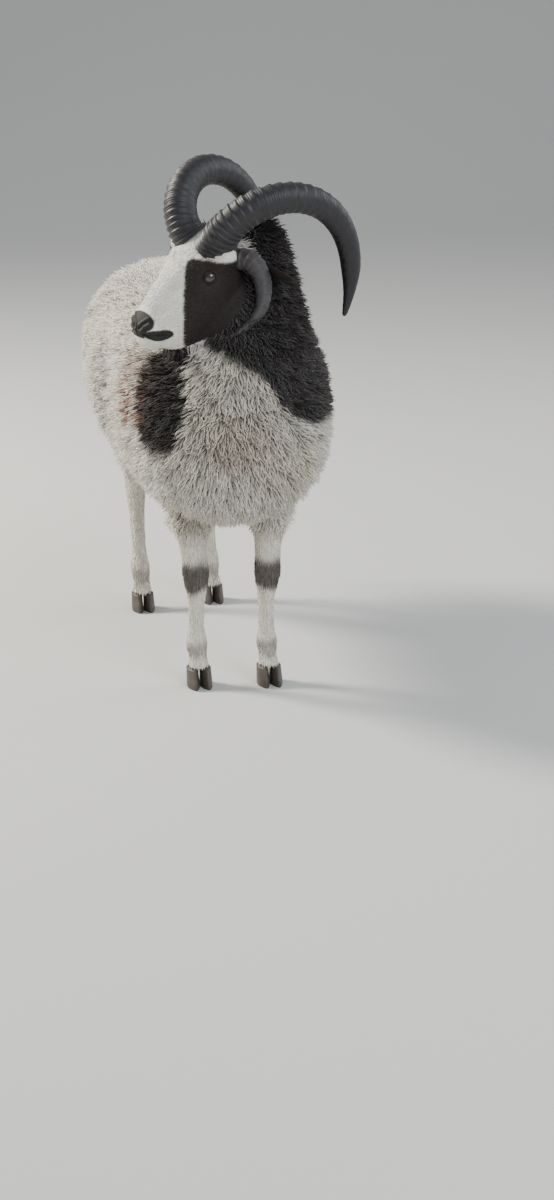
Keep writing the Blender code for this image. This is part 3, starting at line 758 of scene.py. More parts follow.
mesh = skin.data
corner_vert = array_of(mesh.loops, "vertex_index", 1).astype(int).ravel()
face_start = array_of(mesh.polygons, "loop_start", 1).astype(int).ravel()
face_size = array_of(mesh.polygons, "loop_total", 1).astype(int).ravel()
face_of_corner = np.repeat(np.arange(len(face_start)), face_size)
first_vert = corner_vert[face_start]
skin_uv = np.zeros((len(corner_vert), 2), dtype=np.float32)
for number, (name, line) in enumerate(PARTS.items()):
    corners = np.nonzero(part[first_vert][face_of_corner] == number)[0]
    if not len(corners):
        continue
    rows = centres[part_of_centre == number]
    at = points[corner_vert[corners]]
    hub = points[first_vert[face_of_corner[corners]]]
    row = np.empty(len(corners), int)
    for start in range(0, len(corners), CHUNK):
        some = hub[start:start + CHUNK]
        row[start:start + CHUNK] = np.linalg.norm(some[:, None] - rows[None, :, :3], axis=2).argmin(axis=1)
    middle = rows[row, :3]
    turn_hub = angle_round(name, hub, middle)
    turn = angle_round(name, at, middle)
    turn = turn_hub + (turn - turn_hub + math.pi) % (2 * math.pi) - math.pi
    axis = rows[-1, :3] - rows[0, :3]
    share = ((at - rows[0, :3]) @ axis) / (axis @ axis)
    low_u, low_v, high_u, high_v = CELLS[name]
    skin_uv[corners, 0] = low_u + (high_u - low_u) * (turn / (2 * math.pi) + 0.5)
    skin_uv[corners, 1] = low_v + (high_v - low_v) * np.clip(share, -0.04, 1.04)
give_attribute(mesh, "skin_uv", "FLOAT2", "CORNER", skin_uv)
print("unrolled", len(corner_vert), "corners")

# %% Which piece of the coat each face carries
TRUNK_SPLITS = (-0.365, -0.27, -0.16, -0.05, 0.06, 0.17, 0.28, 0.385)
face_middle = np.add.reduceat(points[corner_vert], face_start) / face_size[:, None]
face_wool = np.add.reduceat(wool[corner_vert], face_start) / face_size
face_part = part[first_vert]
piece = np.full(len(face_start), -1, dtype=np.int32)
PIECES = []


def coat_piece(name, chosen, kind):
    piece[chosen & (piece < 0)] = len(PIECES)
    PIECES.append((name, kind))


y = face_middle[:, 1] - SHIFT.y
woolly = face_wool > 0.25
on_part = {name: face_part == i for i, name in enumerate(PART_NAMES)}
neck_face = on_part["neck"] | on_part["head"]
coat_piece("fleece_tail", woolly & on_part["tail"], "fleece")
coat_piece("fleece_neck_left", woolly & neck_face & (face_middle[:, 0] > 0.02), "fleece")
coat_piece("fleece_neck_right", woolly & neck_face, "fleece")
for k, high in enumerate((*TRUNK_SPLITS, 9.0)):
    coat_piece(f"fleece_body_{k + 1}", woolly & (y < high), "fleece")
face_in_head = to_head(face_middle)
bare = on_part["head"] & (face_in_head[:, 0] > 0.140)
for sign in (1, -1):
    eye_middle = np.array([EYE_AT[0], EYE_AT[1] * sign, EYE_AT[2]])
    bare |= np.linalg.norm(face_in_head - eye_middle, axis=1) < 0.020
coat_piece("hair_head", ~bare & on_part["head"], "hair")
coat_piece("hair_legs", ~bare & ~on_part["head"], "hair")
give_attribute(mesh, "coat_piece", "INT", "FACE", piece)
print({name: int((piece == i).sum()) for i, (name, _) in enumerate(PIECES)})

# %% [markdown]
# A lock of wool is a thin tapering spike with a wave in it, three-sided so that hundreds of them
# cost little. Six shapes of wool and three of hair are enough, because each lock is leaned and scaled
# at random when it is set.

# %% The shapes of single locks
WOOL_SEED, HAIR_SEED = 40, 70


def lock_shape(name, collection, thickness, bend, wave, twist, rings, seed):
    """A spike one unit long along Z, bent towards X by the given amount at its tip."""
    rng = random.Random(seed)
    phase = rng.uniform(0, 6.28)
    bm = bmesh.new()
    rows = []
    for k in range(rings):
        t = k / rings
        swell = thickness * (0.60 + 0.40 * math.sin(math.pi * min(1.0, t * 1.3 + 0.10))) * (1 - t ** 3.5)
        out = bend * t * t + wave * math.sin(phase + 7.0 * t) * t
        sway = wave * math.cos(phase * 1.7 + 6.0 * t) * t
        ring = []
        for side in range(3):
            a = 2 * math.pi * side / 3 + twist * t
            ring.append(bm.verts.new((out + swell * math.cos(a), sway + swell * 1.35 * math.sin(a), t)))
        rows.append(ring)
    tip = bm.verts.new((bend + wave * math.sin(phase + 7.0), wave * math.cos(phase * 1.7 + 6.0), 1.0))
    for low, high in zip(rows, rows[1:]):
        for side in range(3):
            bm.faces.new((low[side], low[(side + 1) % 3], high[(side + 1) % 3], high[side]))
    for side in range(3):
        bm.faces.new((rows[-1][side], rows[-1][(side + 1) % 3], tip))
    bm.faces.new(tuple(reversed(rows[0])))
    layer = bm.loops.layers.uv.new("LockUV")
    for face in bm.faces:
        for corner in face.loops:
            co = corner.vert.co
            corner[layer].uv = (0.5 + 2.2 * (co.y + co.x * 0.3), co.z)
    obj = finish_mesh(name, bm)
    bpy.context.scene.collection.objects.unlink(obj)
    collection.objects.link(obj)


fleece_locks = bpy.data.collections.new("fleece_locks")
hair_locks = bpy.data.collections.new("hair_locks")
for k in range(6):
    lock_shape(f"wool_lock_{k}", fleece_locks, 0.070, 0.08 + 0.04 * (k % 3), 0.075 + 0.015 * (k % 2),
               0.8, 4, WOOL_SEED + k)
for k in range(3):
    lock_shape(f"hair_lock_{k}", hair_locks, 0.075, -0.05, 0.03, 0.0, 2, HAIR_SEED + k)

# %% [markdown]
# Geometry Nodes set the locks. Points are scattered on the faces of one coat piece, no two closer
# than the spacing. A lock is placed at each point with its length along the comb direction and its
# curl towards the skin's normal. Realize Instances turns them into one mesh, as an exported model
# can't hold instances.

# %% The tree that sets locks on the skin
MOST_LOCKS = 90000.0  # a square metre, before the spacing thins them
LOCK_SCALES = {2: 0.78, 3: 1.16}  # smallest and largest, by the node's inputs


def set_inputs(tree, node, inputs):
    """Gives each input of a node its value, or a link where a socket is given."""
    for name, value in inputs.items():
        if isinstance(value, bpy.types.NodeSocket):
            tree.links.new(value, node.inputs[name])
        else:
            node.inputs[name].default_value = value


def add_node(tree, kind, inputs={}, **settings):
    node = tree.nodes.new(kind)
    for name, value in settings.items():
        setattr(node, name, value)
    set_inputs(tree, node, inputs)
    return node


def lock_tree(name, collection, finish):
    tree = bpy.data.node_groups.new(name, "GeometryNodeTree")
    face = tree.interface
    for way in ("INPUT", "OUTPUT"):
        face.new_socket("Geometry", in_out=way, socket_type="NodeSocketGeometry")
    for label, kind, value in (("Piece", "Int", 0), ("Spacing", "Float", 0.006), ("Stray", "Float", 0.2),
                               ("Seed", "Int", 3)):
        socket = face.new_socket(label, in_out="INPUT", socket_type=f"NodeSocket{kind}")
        socket.default_value = value
    given = add_node(tree, "NodeGroupInput").outputs

    def named(kind, label):
        node = add_node(tree, "GeometryNodeInputNamedAttribute", {"Name": label}, data_type=kind)
        return node.outputs["Attribute"]

    same = add_node(tree, "FunctionNodeCompare", {"A": named("INT", "coat_piece"), "B": given["Piece"]},
                    data_type="INT", operation="EQUAL")
    scatter = add_node(tree, "GeometryNodeDistributePointsOnFaces", {
        "Mesh": given["Geometry"], "Selection": same.outputs["Result"], "Distance Min": given["Spacing"],
        "Density Max": MOST_LOCKS, "Seed": given["Seed"]}, distribute_method="POISSON")
    stray = add_node(tree, "FunctionNodeRandomValue", {
        0: (-1, -1, -1), 1: (1, 1, 1), "Seed": given["Seed"]}, data_type="FLOAT_VECTOR")
    nudge = add_node(tree, "ShaderNodeVectorMath", {0: stray.outputs[0], "Scale": given["Stray"]},
                     operation="SCALE")
    lean = add_node(tree, "ShaderNodeVectorMath", {0: named("FLOAT_VECTOR", "comb"), 1: nudge.outputs[0]},
                    operation="ADD")
    turn = add_node(tree, "FunctionNodeAxesToRotation", {
        "Primary Axis": lean.outputs[0], "Secondary Axis": scatter.outputs["Normal"]},
        primary_axis="Z", secondary_axis="X")
    vary = add_node(tree, "FunctionNodeRandomValue", LOCK_SCALES, data_type="FLOAT")
    size = add_node(tree, "ShaderNodeMath", {0: named("FLOAT", "coat_length"), 1: vary.outputs[1]},
                    operation="MULTIPLY")
    tint = add_node(tree, "FunctionNodeRandomValue", {"Seed": given["Seed"]}, data_type="FLOAT")
    keep = add_node(tree, "GeometryNodeStoreNamedAttribute", {
        "Name": "lock_tint", "Geometry": scatter.outputs["Points"], "Value": tint.outputs[1]},
        data_type="FLOAT", domain="POINT")
    shapes = add_node(tree, "GeometryNodeCollectionInfo", {
        "Collection": collection, "Separate Children": True, "Reset Children": True})
    place = add_node(tree, "GeometryNodeInstanceOnPoints", {
        "Points": keep.outputs["Geometry"], "Instance": shapes.outputs["Instances"], "Pick Instance": True,
        "Rotation": turn.outputs["Rotation"], "Scale": size.outputs["Value"]})
    real = add_node(tree, "GeometryNodeRealizeInstances", {"Geometry": place.outputs["Instances"]})
    paint = add_node(tree, "GeometryNodeSetMaterial", {"Geometry": real.outputs["Geometry"],
                                                       "Material": finish})
    add_node(tree, "NodeGroupOutput", {"Geometry": paint.outputs["Geometry"]})
    return tree


# %% [markdown]
# Wool is dull and soft, and its tips catch a little light. The colour comes from the root's place on
# the skin, then each lock gets its own small tint, a root darkened with painted shade and a paler tip,
# as weather bleaches the ends. A trace of rust is added to the tips of the wool, which only shows where it
# is dark.

# %% Finishes of wool and hair
def new_finish(name):
    made = bpy.data.materials.new(name)
    made.use_nodes = True
    return made, made.node_tree, made.node_tree.nodes["Principled BSDF"]


def mix_colour(tree, factor, first, second, blend="MIX"):
    node = add_node(tree, "ShaderNodeMix", {0: factor, 6: first, 7: second}, data_type="RGBA",
                    blend_type=blend)
    return node.outputs[2]


def multiply(tree, first, second):
    return mix_colour(tree, 1.0, first, second, "MULTIPLY")


def ramp_node(tree, value, stops):
    node = add_node(tree, "ShaderNodeValToRGB", {"Fac": value})
    while len(node.color_ramp.elements) < len(stops):
        node.color_ramp.elements.new(0.5)
    for element, (where, level) in zip(node.color_ramp.elements, stops):
        element.position = where
        element.color = (level, level, level, 1)
    return node.outputs["Color"]


def attribute(tree, name):
    return add_node(tree, "ShaderNodeAttribute", attribute_name=name).outputs


def noise_node(tree, place, **sizes):
    inputs = {name.title(): size for name, size in sizes.items()}
    return add_node(tree, "ShaderNodeTexNoise", {"Vector": place, **inputs}).outputs["Fac"]


def bump_node(tree, height, strength, distance):
    node = add_node(tree, "ShaderNodeBump", {"Height": height, "Strength": strength, "Distance": distance})
    return node.outputs["Normal"]


def own_place(tree):
    return add_node(tree, "ShaderNodeTexCoord").outputs["Object"]


def coat_finish(name, root_painted_shade, tip_shade, rust, sheen):
    made, tree, shader = new_finish(name)
    uv = add_node(tree, "ShaderNodeUVMap", uv_map="LockUV")
    up_lock = add_node(tree, "ShaderNodeSeparateXYZ", {0: uv.outputs["UV"]}).outputs["Y"]
    # painted shade darkens the root of each lock, and the tip is paler as weather bleaches it
    along = ramp_node(tree, up_lock, ((0.0, root_painted_shade), (0.55, 1.0), (1.0, tip_shade)))
    own = ramp_node(tree, attribute(tree, "lock_tint")["Fac"], ((0.0, 0.90), (1.0, 1.06)))
    base = multiply(tree, multiply(tree, attribute(tree, "coat_colour")["Color"], along), own)
    if rust:
        ends = ramp_node(tree, up_lock, ((0.55, 0.0), (1.0, 1.0)))
        base = mix_colour(tree, ends, base, mix_colour(tree, 1.0, base, (*rust, 1), "ADD"))
    set_inputs(tree, shader, {"Base Color": base, "Roughness": 0.85, "Specular IOR Level": 0.25,
                              "Sheen Weight": sheen, "Sheen Roughness": 0.6})
    return made


# the first number is the painted shade at a lock's root, the second the bleached tip
wool_finish = coat_finish("wool", 0.86, 1.05, (0.010, 0.004, 0.002), 0.20)
hair_finish = coat_finish("short_hair", 0.90, 1.0, None, 0.04)

# %% Growing the coat, piece by piece
SPACING = {"fleece": 0.0034, "hair": 0.0034}
STRAY = {"fleece": 0.18, "hair": 0.10}
COAT_SEED = 20
LOCK_PATCH = 0.003  # how much of the skin's map one lock covers
trees = {"fleece": lock_tree("set_wool_locks", fleece_locks, wool_finish),
         "hair": lock_tree("set_hair_locks", hair_locks, hair_finish)}
thin = 1.0
coat = []
for number, (name, kind) in enumerate(PIECES):
    grower = bpy.data.objects.new(name, skin.data)
    bpy.context.scene.collection.objects.link(grower)
    setter = grower.modifiers.new("locks", "NODES")
    setter.node_group = trees[kind]
    sockets = {s.name: s.identifier for s in trees[kind].interface.items_tree
               if s.item_type == "SOCKET" and s.in_out == "INPUT"}
    setter[sockets["Piece"]] = number
    setter[sockets["Spacing"]] = SPACING[kind] * thin
    setter[sockets["Stray"]] = STRAY[kind]
    setter[sockets["Seed"]] = COAT_SEED + number
    grown = evaluated_copy(grower)
    grower.modifiers.clear()
    grower.data = grown
    roots = grown.attributes["skin_uv"]
    root_uv = np.empty(len(grown.vertices) * 2, dtype=np.float32)
    roots.data.foreach_get("vector", root_uv)
    corner = array_of(grown.loops, "vertex_index", 1).astype(int).ravel()
    own_uv = array_of(grown.uv_layers["LockUV"].data, "uv", 2)
    bake = grown.uv_layers.new(name="OFBake")
    patch = root_uv.reshape(-1, 2)[corner] + (np.clip(own_uv, 0, 1) - 0.5) * LOCK_PATCH
    bake.data.foreach_set("uv", patch.astype(np.float32).ravel())
    triangles = sum(len(p.vertices) - 2 for p in grown.polygons)
    coat.append(grower)
    print(name, "has", triangles, "triangles")

# %% [markdown]
# The skin shows at the muzzle, round the eyes and between short hairs, so it carries the look of
# short hair itself: fine bumps drawn out up and down, and the same piebald colours.

# %% Finish of the skin
def skin_finish():
    made, tree, shader = new_finish("skin_hair")
    place = own_place(tree)
    drawn_out = add_node(tree, "ShaderNodeMapping", {"Vector": place, "Scale": (1.0, 1.0, 0.45)})
    hair = noise_node(tree, drawn_out.outputs["Vector"], scale=520.0, detail=3.0)
    mottle = noise_node(tree, place, scale=60.0)
    soft = ramp_node(tree, mottle, ((0.3, 0.86), (0.7, 1.06)))
    fine = ramp_node(tree, hair, ((0.3, 0.80), (0.7, 1.08)))
    base = multiply(tree, multiply(tree, attribute(tree, "coat_colour")["Color"], soft), fine)
    set_inputs(tree, shader, {"Base Color": base, "Roughness": 0.7, "Specular IOR Level": 0.3,
                              "Normal": bump_node(tree, hair, 0.5, 0.0012)})
    return made


skin.data.materials.clear()
skin.data.materials.append(skin_finish())

# %% [markdown]
# The upper horns sweep out, back and round in a widening spiral. Ridges run round them, strongest
# near the skull and on the outer curve. The lower pair curls down round the cheeks. All
# four are lofts along a path, with the ridges pressed into their rings.

# %% Paths of the horns, in the head's axes
HORN_ROOT = (0.0075, 0.0385, -0.012)
HORN_HEADING = (0.434, 0.585, 0.685)
HORN_AXIS = (0.095, -0.946, 0.310)
HORN_RADIUS = 0.0613
HORN_OPENING = 2.43
HORN_TURN = 227.5
HORN_WIDTH = 0.0369
HORN_FLARE, FLARE_LENGTH = 0.0042, 0.04
HORN_TAPER, LOW_HORN_TAPER = 0.27, 0.55
LOW_HORN = (
    (-0.030, 0.056, -0.034),
    (-0.042, 0.082, -0.032),
    (-0.052, 0.101, -0.050),
    (-0.057, 0.112, -0.080),
    (-0.052, 0.117, -0.114),
    (-0.034, 0.115, -0.142),
    (-0.008, 0.108, -0.162),
    (0.020, 0.099, -0.175),
)
LOW_HORN_WIDTH = 0.0235
TIP_FROM, TIP_DRAWN_IN = 0.86, 0.45
RIDGE_COUNT = {"upper": 30, "lower": 18}
HORN_SEED = {"left": 3, "right": 4}


def upper_path(steps):
    axis = Vector(HORN_AXIS).normalized()
    heading = Vector(HORN_HEADING).normalized()
    turn = math.radians(HORN_TURN)
    at = Vector(HORN_ROOT)
    path = [at.copy()]
    for i in range(steps):
        share = (i + 0.5) / steps
        step = HORN_RADIUS * (1 + HORN_OPENING * share) * turn / steps
        at = at + Matrix.Rotation(turn * share, 3, axis) @ heading * step
        path.append(at.copy())
    return path


def horn_width(share):
    """Half the upper horn's width: flared at the skull, slow to taper, and drawn in near the tip."""
    width = HORN_WIDTH * max(1 - share, 0.0) ** HORN_TAPER
    width += HORN_FLARE * math.exp(-share / FLARE_LENGTH) * (1 - share)
    return width * (1 - TIP_DRAWN_IN * smoothstep(TIP_FROM, 1.0, share))


def horn(kind, side, steps, sides):
    """A horn whose ridges are steep on the side of the tip and fade out along it."""
    flip = Vector((1, SIDES[side], 1))
    if kind == "upper":
        path = upper_path(steps)
    else:
        path = [Vector(p) for p in smooth_rows(LOW_HORN, steps // (len(LOW_HORN) - 1))]
    path = [HEAD_FRAME @ (p * flip) for p in path]
    last = len(path) - 1
    ridges = RIDGE_COUNT[kind]
    rng = random.Random(HORN_SEED[side])
    jitter = [rng.uniform(-0.25, 0.25) for _ in range(ridges + 3)]
    rings = []
    across = None
    for i, point in enumerate(path):
        share = i / last
        ahead = (path[min(i + 1, last)] - path[max(i - 1, 0)]).normalized()
        bend = path[min(i + 2, last)] + path[max(i - 2, 0)] - 2 * path[min(max(i, 2), last - 2)]
        if across is None:
            across = ahead.cross(Vector((0, 0, 1))).normalized()
        across = square_to(across, ahead)
        other = ahead.cross(across)
        if kind == "upper":
            width, flat = horn_width(share), 0.92
        else:
            width, flat = LOW_HORN_WIDTH * (1 - share) ** LOW_HORN_TAPER + 0.003 * (1 - share), 0.85
        width = max(width, 0.0012)
        beat = share ** 0.92 * ridges
        beat += jitter[int(beat)] * 0.5
        saw = beat % 1.0
        ridge = (saw ** 1.6) * (1 - smoothstep(0.92, 1.0, saw))
        fade = (1 - smoothstep(0.35, 0.95, share)) * (0.55 + 0.45 * smoothstep(0, 0.05, share))
        ring = []
        for k, (c, s) in enumerate(circle(sides)):
            arm = across * c * width + other * s * width * flat
            outer = 0.5 - 0.5 * arm.normalized().dot(bend.normalized()) if bend.length > 1e-9 else 0.5
            depth = width * (0.05 + 0.085 * outer) * fade * ridge
            grain = 0.0006 * noise.noise(Vector((k * 0.9, beat * 3.0, 5.0 if side == "left" else 9.0)))
            ring.append(point + arm * (1 + (depth + grain) / width - 0.05))
        rings.append(ring)
    obj = loft(f"horn_{kind}_{side}_ridged", rings)
    shares = np.empty(len(obj.data.vertices), dtype=np.float32)
    shares[:len(path) * sides] = np.repeat(np.linspace(0, 1, len(path)), sides)
    shares[len(path) * sides:] = (0.0, 1.0)
    give_attribute(obj.data, "up_the_horn", "FLOAT", "POINT", shares)
    return obj


def horn_finish(name, root, tip, ridge_dark):
    """Keratin: dark and mottled, with fine darker lines round it."""
    made, tree, shader = new_finish(name)
    share = attribute(tree, "up_the_horn")["Fac"]
    grain = noise_node(tree, own_place(tree), scale=90.0, detail=5.0)
    join = add_node(tree, "ShaderNodeCombineXYZ", {"X": share})
    rings = add_node(tree, "ShaderNodeTexWave", {
        "Vector": join.outputs["Vector"], "Scale": 38.0, "Distortion": 0.6}).outputs["Fac"]
    mottle = ramp_node(tree, grain, ((0.3, 0.70), (0.7, 1.25)))
    line = ramp_node(tree, rings, ((0.0, ridge_dark), (0.6, 1.0)))
    body = mix_colour(tree, share, (*root, 1), (*tip, 1))
    height = add_node(tree, "ShaderNodeMath", {0: grain, 1: rings}, operation="ADD").outputs["Value"]
    set_inputs(tree, shader, {"Base Color": multiply(tree, multiply(tree, body, mottle), line),
                              "Roughness": ramp_node(tree, grain, ((0.3, 0.42), (0.7, 0.62))),
                              "Normal": bump_node(tree, height, 0.35, 0.001)})
    return made


dark_horn = horn_finish("dark_horn", (0.026, 0.024, 0.028), (0.015, 0.014, 0.017), 0.74)
grey_horn = horn_finish("grey_horn", (0.060, 0.054, 0.056), (0.045, 0.041, 0.044), 0.75)
horns = []
for side in SIDES:
    for kind, finish, steps, sides in (("upper", dark_horn, 300, 40), ("lower", grey_horn, 168, 30)):
        made = horn(kind, side, steps, sides)
        made.data.materials.append(finish)
        horns.append((made, f"horn_{kind}_{side}", "horn" if kind == "upper" else "pale_horn"))
print([obj.name for obj, _, _ in horns])

# %% [markdown]
# The ears stand out sideways behind the lower horns, like leaves rolled into a cup. Each section is
# pressed in on the side that faces back and up.

# %% Ears
EAR_ROOT = (-0.082, 0.048, -0.060)
EAR_TIP = (-0.086, 0.166, -0.054)
EAR_WIDTH = 0.025


def ear(side):
    flip = Vector((1, SIDES[side], 1))
    root, tip = Vector(EAR_ROOT) * flip, Vector(EAR_TIP) * flip
    along = tip - root
    line = along.normalized()
    across = square_to(Vector((0.8, 0, 0.6)), line)
    thick = line.cross(across) * SIDES[side]
    rows = ((0, 0.5, 0.42), (0.18, 0.62, 0.36), (0.4, 0.95, 0.22), (0.62, 1.0, 0.16), (0.84, 0.68, 0.12),
            (0.97, 0.25, 0.08))
    rings = []
    for share, wide, deep in smooth_rows(rows, 7):
        ring = []
        for c, s in circle(36):
            cup = -0.85 * max(0.0, 1 - c * c * 1.25) * smoothstep(0.05, 0.3, share) if s < 0 else 0.0
            lay = EAR_WIDTH * deep * (s + cup * s)
            curl = EAR_WIDTH * wide * 0.28 * c * c * -1.0 * smoothstep(0.1, 0.4, share)
            ring.append(HEAD_FRAME @ (root + along * share + across * EAR_WIDTH * wide * 0.97 * c
                                      + thick * (lay + curl * 0.5)))
        rings.append(ring)
    return loft(f"ear_{side}_hairy", rings)


ears = []
for side in SIDES:
    made = ear(side)
    count = len(made.data.vertices)
    give_attribute(made.data, "coat_colour", "FLOAT_COLOR", "POINT", np.tile((*DARK, 1.0), (count, 1)))
    made.data.materials.append(skin.data.materials[0])
    ears.append(made)
print("two ears")

# %% [markdown]
# A sheep's pupil is a dark level slot, here in a dark brown iris. The colours are drawn by the place
# on the eyeball, kept in an attribute, so that they turn with the head.

# %% Eyes
def eyeball(side):
    centre, outward, ahead, across = EYE_FRAME[side]
    bm = bmesh.new()
    bmesh.ops.create_uvsphere(bm, u_segments=48, v_segments=32, radius=EYE_RADIUS)
    for vert in bm.verts:
        lift = max(0.0, vert.co.normalized().dot(outward) - 0.72)
        vert.co *= 1 + 0.16 * lift
    reach = [(v.co.dot(ahead) / EYE_RADIUS, v.co.dot(across) / EYE_RADIUS,
              v.co.normalized().dot(outward)) for v in bm.verts]
    for vert in bm.verts:
        vert.co = HEAD_FRAME @ (vert.co + centre)
    obj = finish_mesh(f"eye_{side}_wet", bm)
    give_attribute(obj.data, "eye_place", "FLOAT_VECTOR", "POINT", reach)
    return obj


def eye_finish():
    made, tree, shader = new_finish("eye_amber")
    place = attribute(tree, "eye_place")["Vector"]
    split = add_node(tree, "ShaderNodeSeparateXYZ", {0: place}).outputs

    def maths(kind, first, second):
        return add_node(tree, "ShaderNodeMath", {0: first, 1: second}, operation=kind).outputs[0]

    def slot_edge(axis, half_size):
        return maths("POWER", maths("ABSOLUTE", maths("DIVIDE", split[axis], half_size), 0.0), 4.0)

    iris = ramp_node(tree, split["Z"], ((0.58, 0.0), (0.64, 1.0)))
    slot = maths("ADD", slot_edge("X", 0.52), slot_edge("Y", 0.20))
    pupil = ramp_node(tree, slot, ((0.85, 1.0), (1.0, 0.0)))
    amber = mix_colour(tree, noise_node(tree, place, scale=14.0), (0.012, 0.007, 0.004, 1),
                       (0.034, 0.019, 0.009, 1))
    base = mix_colour(tree, iris, (0.045, 0.030, 0.024, 1), amber)
    base = mix_colour(tree, pupil, base, (0.004, 0.004, 0.005, 1))
    set_inputs(tree, shader, {"Base Color": base, "Roughness": 0.06, "Coat Weight": 1.0,
                              "Coat Roughness": 0.02})
    return made


amber = eye_finish()
eyes = [eyeball(side) for side in SIDES]
for made in eyes:
    made.data.materials.append(amber)
print("two eyes of", EYE_RADIUS * 2000, "mm")

# %% [markdown]
# Each foot stands on two claws with flat soles. They are lofts too, narrow at the toe, with faint
# growth lines round the wall.

# %% Hooves
HOOF_HEIGHT = 0.039
HOOF_LENGTH = 0.066
HOOF_WIDTH = 0.0255


def claw(pair, side, turn):
    heel_y = heel_of(pair, side)
    middle = SIDES[side] * LEG_X[pair] + turn * (HOOF_WIDTH / 2 + 0.001)
    rings = []
    levels = 26
    for level in range(levels + 1):
        t = level / levels
        height = HOOF_HEIGHT * t
        length = 1.0 - 0.03 * min(1.0, t / 0.31) - 0.25 * max(0.0, (t - 0.31) / 0.69)
        width = 1.0 - 0.08 * max(0.0, (t - 0.31) / 0.69)
        edge = 1 - 0.05 * (1 - min(1.0, t * 9)) - 0.010 * (0.5 + 0.5 * math.sin(t * 44))
        ring = []
        for c, s in circle(36):
            reach = HOOF_LENGTH * length
            narrow = 1 - 0.45 * max(0.0, -s) ** 2
            ring.append(Vector((middle + HOOF_WIDTH / 2 * width * c * narrow * edge,
                                heel_y - reach / 2 + reach / 2 * s * edge, height)) + SHIFT)
        rings.append(ring)
    where = "outer" if turn * SIDES[side] > 0 else "inner"
    return loft(f"claw_{pair}_{side}_{where}", rings), f"hoof_{pair}_{side}_{where}"


def hoof_finish():
    made, tree, shader = new_finish("hoof_horn")
    dirt = noise_node(tree, own_place(tree), scale=70.0, detail=4.0)
    base = mix_colour(tree, dirt, (0.030, 0.026, 0.024, 1), (0.11, 0.09, 0.07, 1))
    set_inputs(tree, shader, {"Base Color": base, "Roughness": 0.5,
                              "Normal": bump_node(tree, dirt, 0.4, 0.0008)})
    return made


hoof_dark = hoof_finish()
hooves = []
for pair, side in LEGS:
    for turn in (-1, 1):
        made, node = claw(pair, side, turn)
        made.data.materials.append(hoof_dark)
        hooves.append((made, node))
print(len(hooves), "claws")

# %% [markdown]
# Each piece now moves with the root body, and the solids that the pieces replace are hidden. The
# figure has no joints, so all of it rides on the root.

# %% Pieces take the places of the solids
FLESH = ["torso", "neck", "head", "tail", "leg_fore_left", "leg_fore_right", "leg_hind_left",
         "leg_hind_right"]
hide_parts(*FLESH)
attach(skin, "root")
for obj in coat:
    if obj.name.startswith("fleece_neck"):
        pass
    elif obj.name == "hair_legs":
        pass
    elif obj.name == "hair_head":
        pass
    else:
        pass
    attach(obj, "root")
for obj, node, slot in horns:
    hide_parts(node)
    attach(obj, "root")
for obj, side in zip(ears, SIDES):
    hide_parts(f"ear_{side}")
    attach(obj, "root")
for obj, side in zip(eyes, SIDES):
    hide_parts(f"eye_{side}")
    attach(obj, "root")
for obj, node in hooves:
    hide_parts(node)
    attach(obj, "root")
print("pieces:", 1 + len(coat) + len(horns) + 4 + len(hooves))

# %% [markdown]
# The floor is plain and pale and curves up far behind, so no edge shows from the photo's side. A warm
# panel high behind the animal's right gives the bright rim of the photo. Two cool ones fill the front
# and the left, and a pale sky keeps the shadows open.

# %% Floor and light
def floor():
    bm = bmesh.new()
    rows = []
    for k in range(40):
        t = k / 39
        y, z = -7.0 + 19.0 * t, 0.0
        if t > 0.75:
            a = (t - 0.75) / 0.25 * math.pi / 2
            y, z = 7.25 + 4.0 * math.sin(a), 4.0 * (1 - math.cos(a))
        rows.append([bm.verts.new((x, y, z)) for x in (-14, 14)])
    for low, high in zip(rows, rows[1:]):
        bm.faces.new((low[0], low[1], high[1], high[0]))
    obj = finish_mesh("floor", bm)
    made, tree, shader = new_finish("pale_floor")
    set_inputs(tree, shader, {"Base Color": (0.62, 0.62, 0.60, 1), "Roughness": 0.9})
    obj.data.materials.append(made)
    return obj


floor()


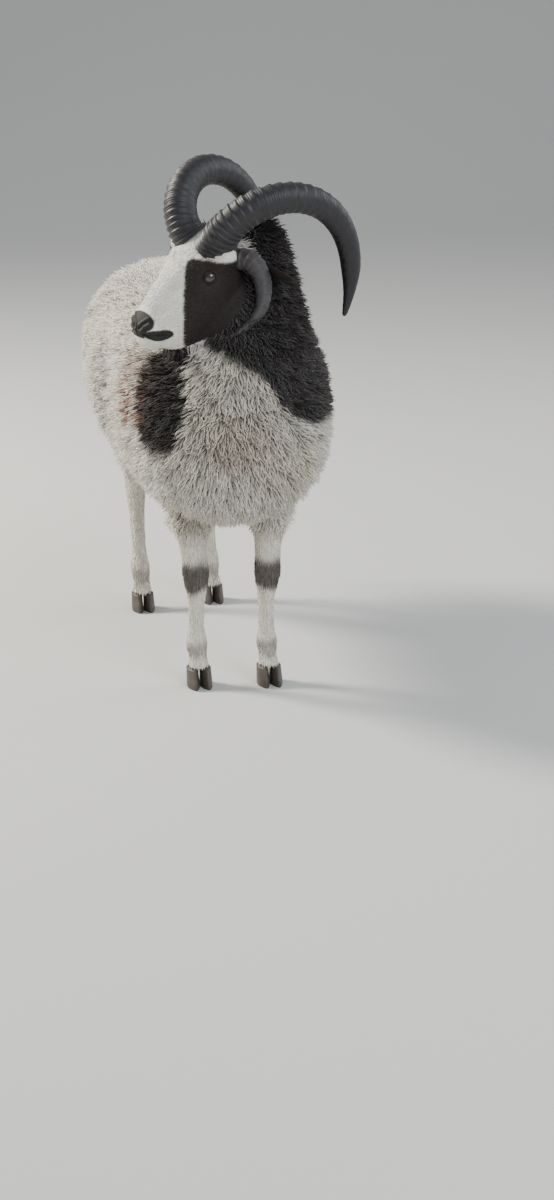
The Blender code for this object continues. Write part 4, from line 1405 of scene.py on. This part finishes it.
def panel(name, place, aim, size, power, colour):
    light = bpy.data.lights.new(name, "AREA")
    light.shape = "DISK"
    light.size = size
    light.energy = power
    light.color = colour
    obj = bpy.data.objects.new(name, light)
    bpy.context.scene.collection.objects.link(obj)
    obj.location = place
    obj.rotation_euler = (Vector(aim) - Vector(place)).to_track_quat("-Z", "Y").to_euler()


panel("sun_side", (-3.4, 2.2, 3.2), (0, 0, 0.6), 1.3, 470, (1.0, 0.95, 0.86))
panel("front_fill", (1.6, -4.2, 3.0), (0, 0, 0.6), 3.0, 135, (0.93, 0.96, 1.0))
panel("side_fill", (4.0, 0.5, 2.4), (0, 0, 0.6), 3.0, 70, (0.95, 0.97, 1.0))
world = bpy.data.worlds.new("studio")
bpy.context.scene.world = world
world.use_nodes = True
sky = world.node_tree.nodes["Background"]
set_inputs(world.node_tree, sky, {"Color": (0.86, 0.90, 0.95, 1), "Strength": 0.55})
print("floor, three panels and a pale sky")

# %% [markdown]
# The camera gives the photo's framing at the size the animal was given: a little to the animal's
# right of straight ahead and looking down. Its height and distance follow from that size, so they
# are no measure of it.

# %% Camera
IMAGE_WIDTH, IMAGE_HEIGHT = 554, 1200
FOCAL_PIXELS = 2052.0
CAMERA_AZIMUTH = math.radians(-13.0)
CAMERA_HEIGHT = 1.42
CAMERA_DISTANCE = 4.08
CAMERA_PITCH = math.radians(16.87)
CAMERA_YAW = math.radians(1.276)

towards = Vector((math.sin(CAMERA_AZIMUTH), -math.cos(CAMERA_AZIMUTH), 0))
feet = Vector((0.0, -0.30, 0.0)) + SHIFT
lens = bpy.data.cameras.new("camera")
lens.sensor_fit = "VERTICAL"
lens.sensor_height = 36.0
lens.sensor_width = 36.0 * IMAGE_WIDTH / IMAGE_HEIGHT
lens.lens = 36.0 * FOCAL_PIXELS / IMAGE_HEIGHT
camera = bpy.data.objects.new("camera", lens)
bpy.context.scene.collection.objects.link(camera)
camera.location = feet + towards * CAMERA_DISTANCE + Vector((0, 0, CAMERA_HEIGHT))
heading = -math.atan2(-towards.x, -towards.y)
camera.rotation_euler = (math.pi / 2 - CAMERA_PITCH, 0.0, heading - CAMERA_YAW)
bpy.context.scene.camera = camera
print("camera at", [round(v, 2) for v in camera.location])
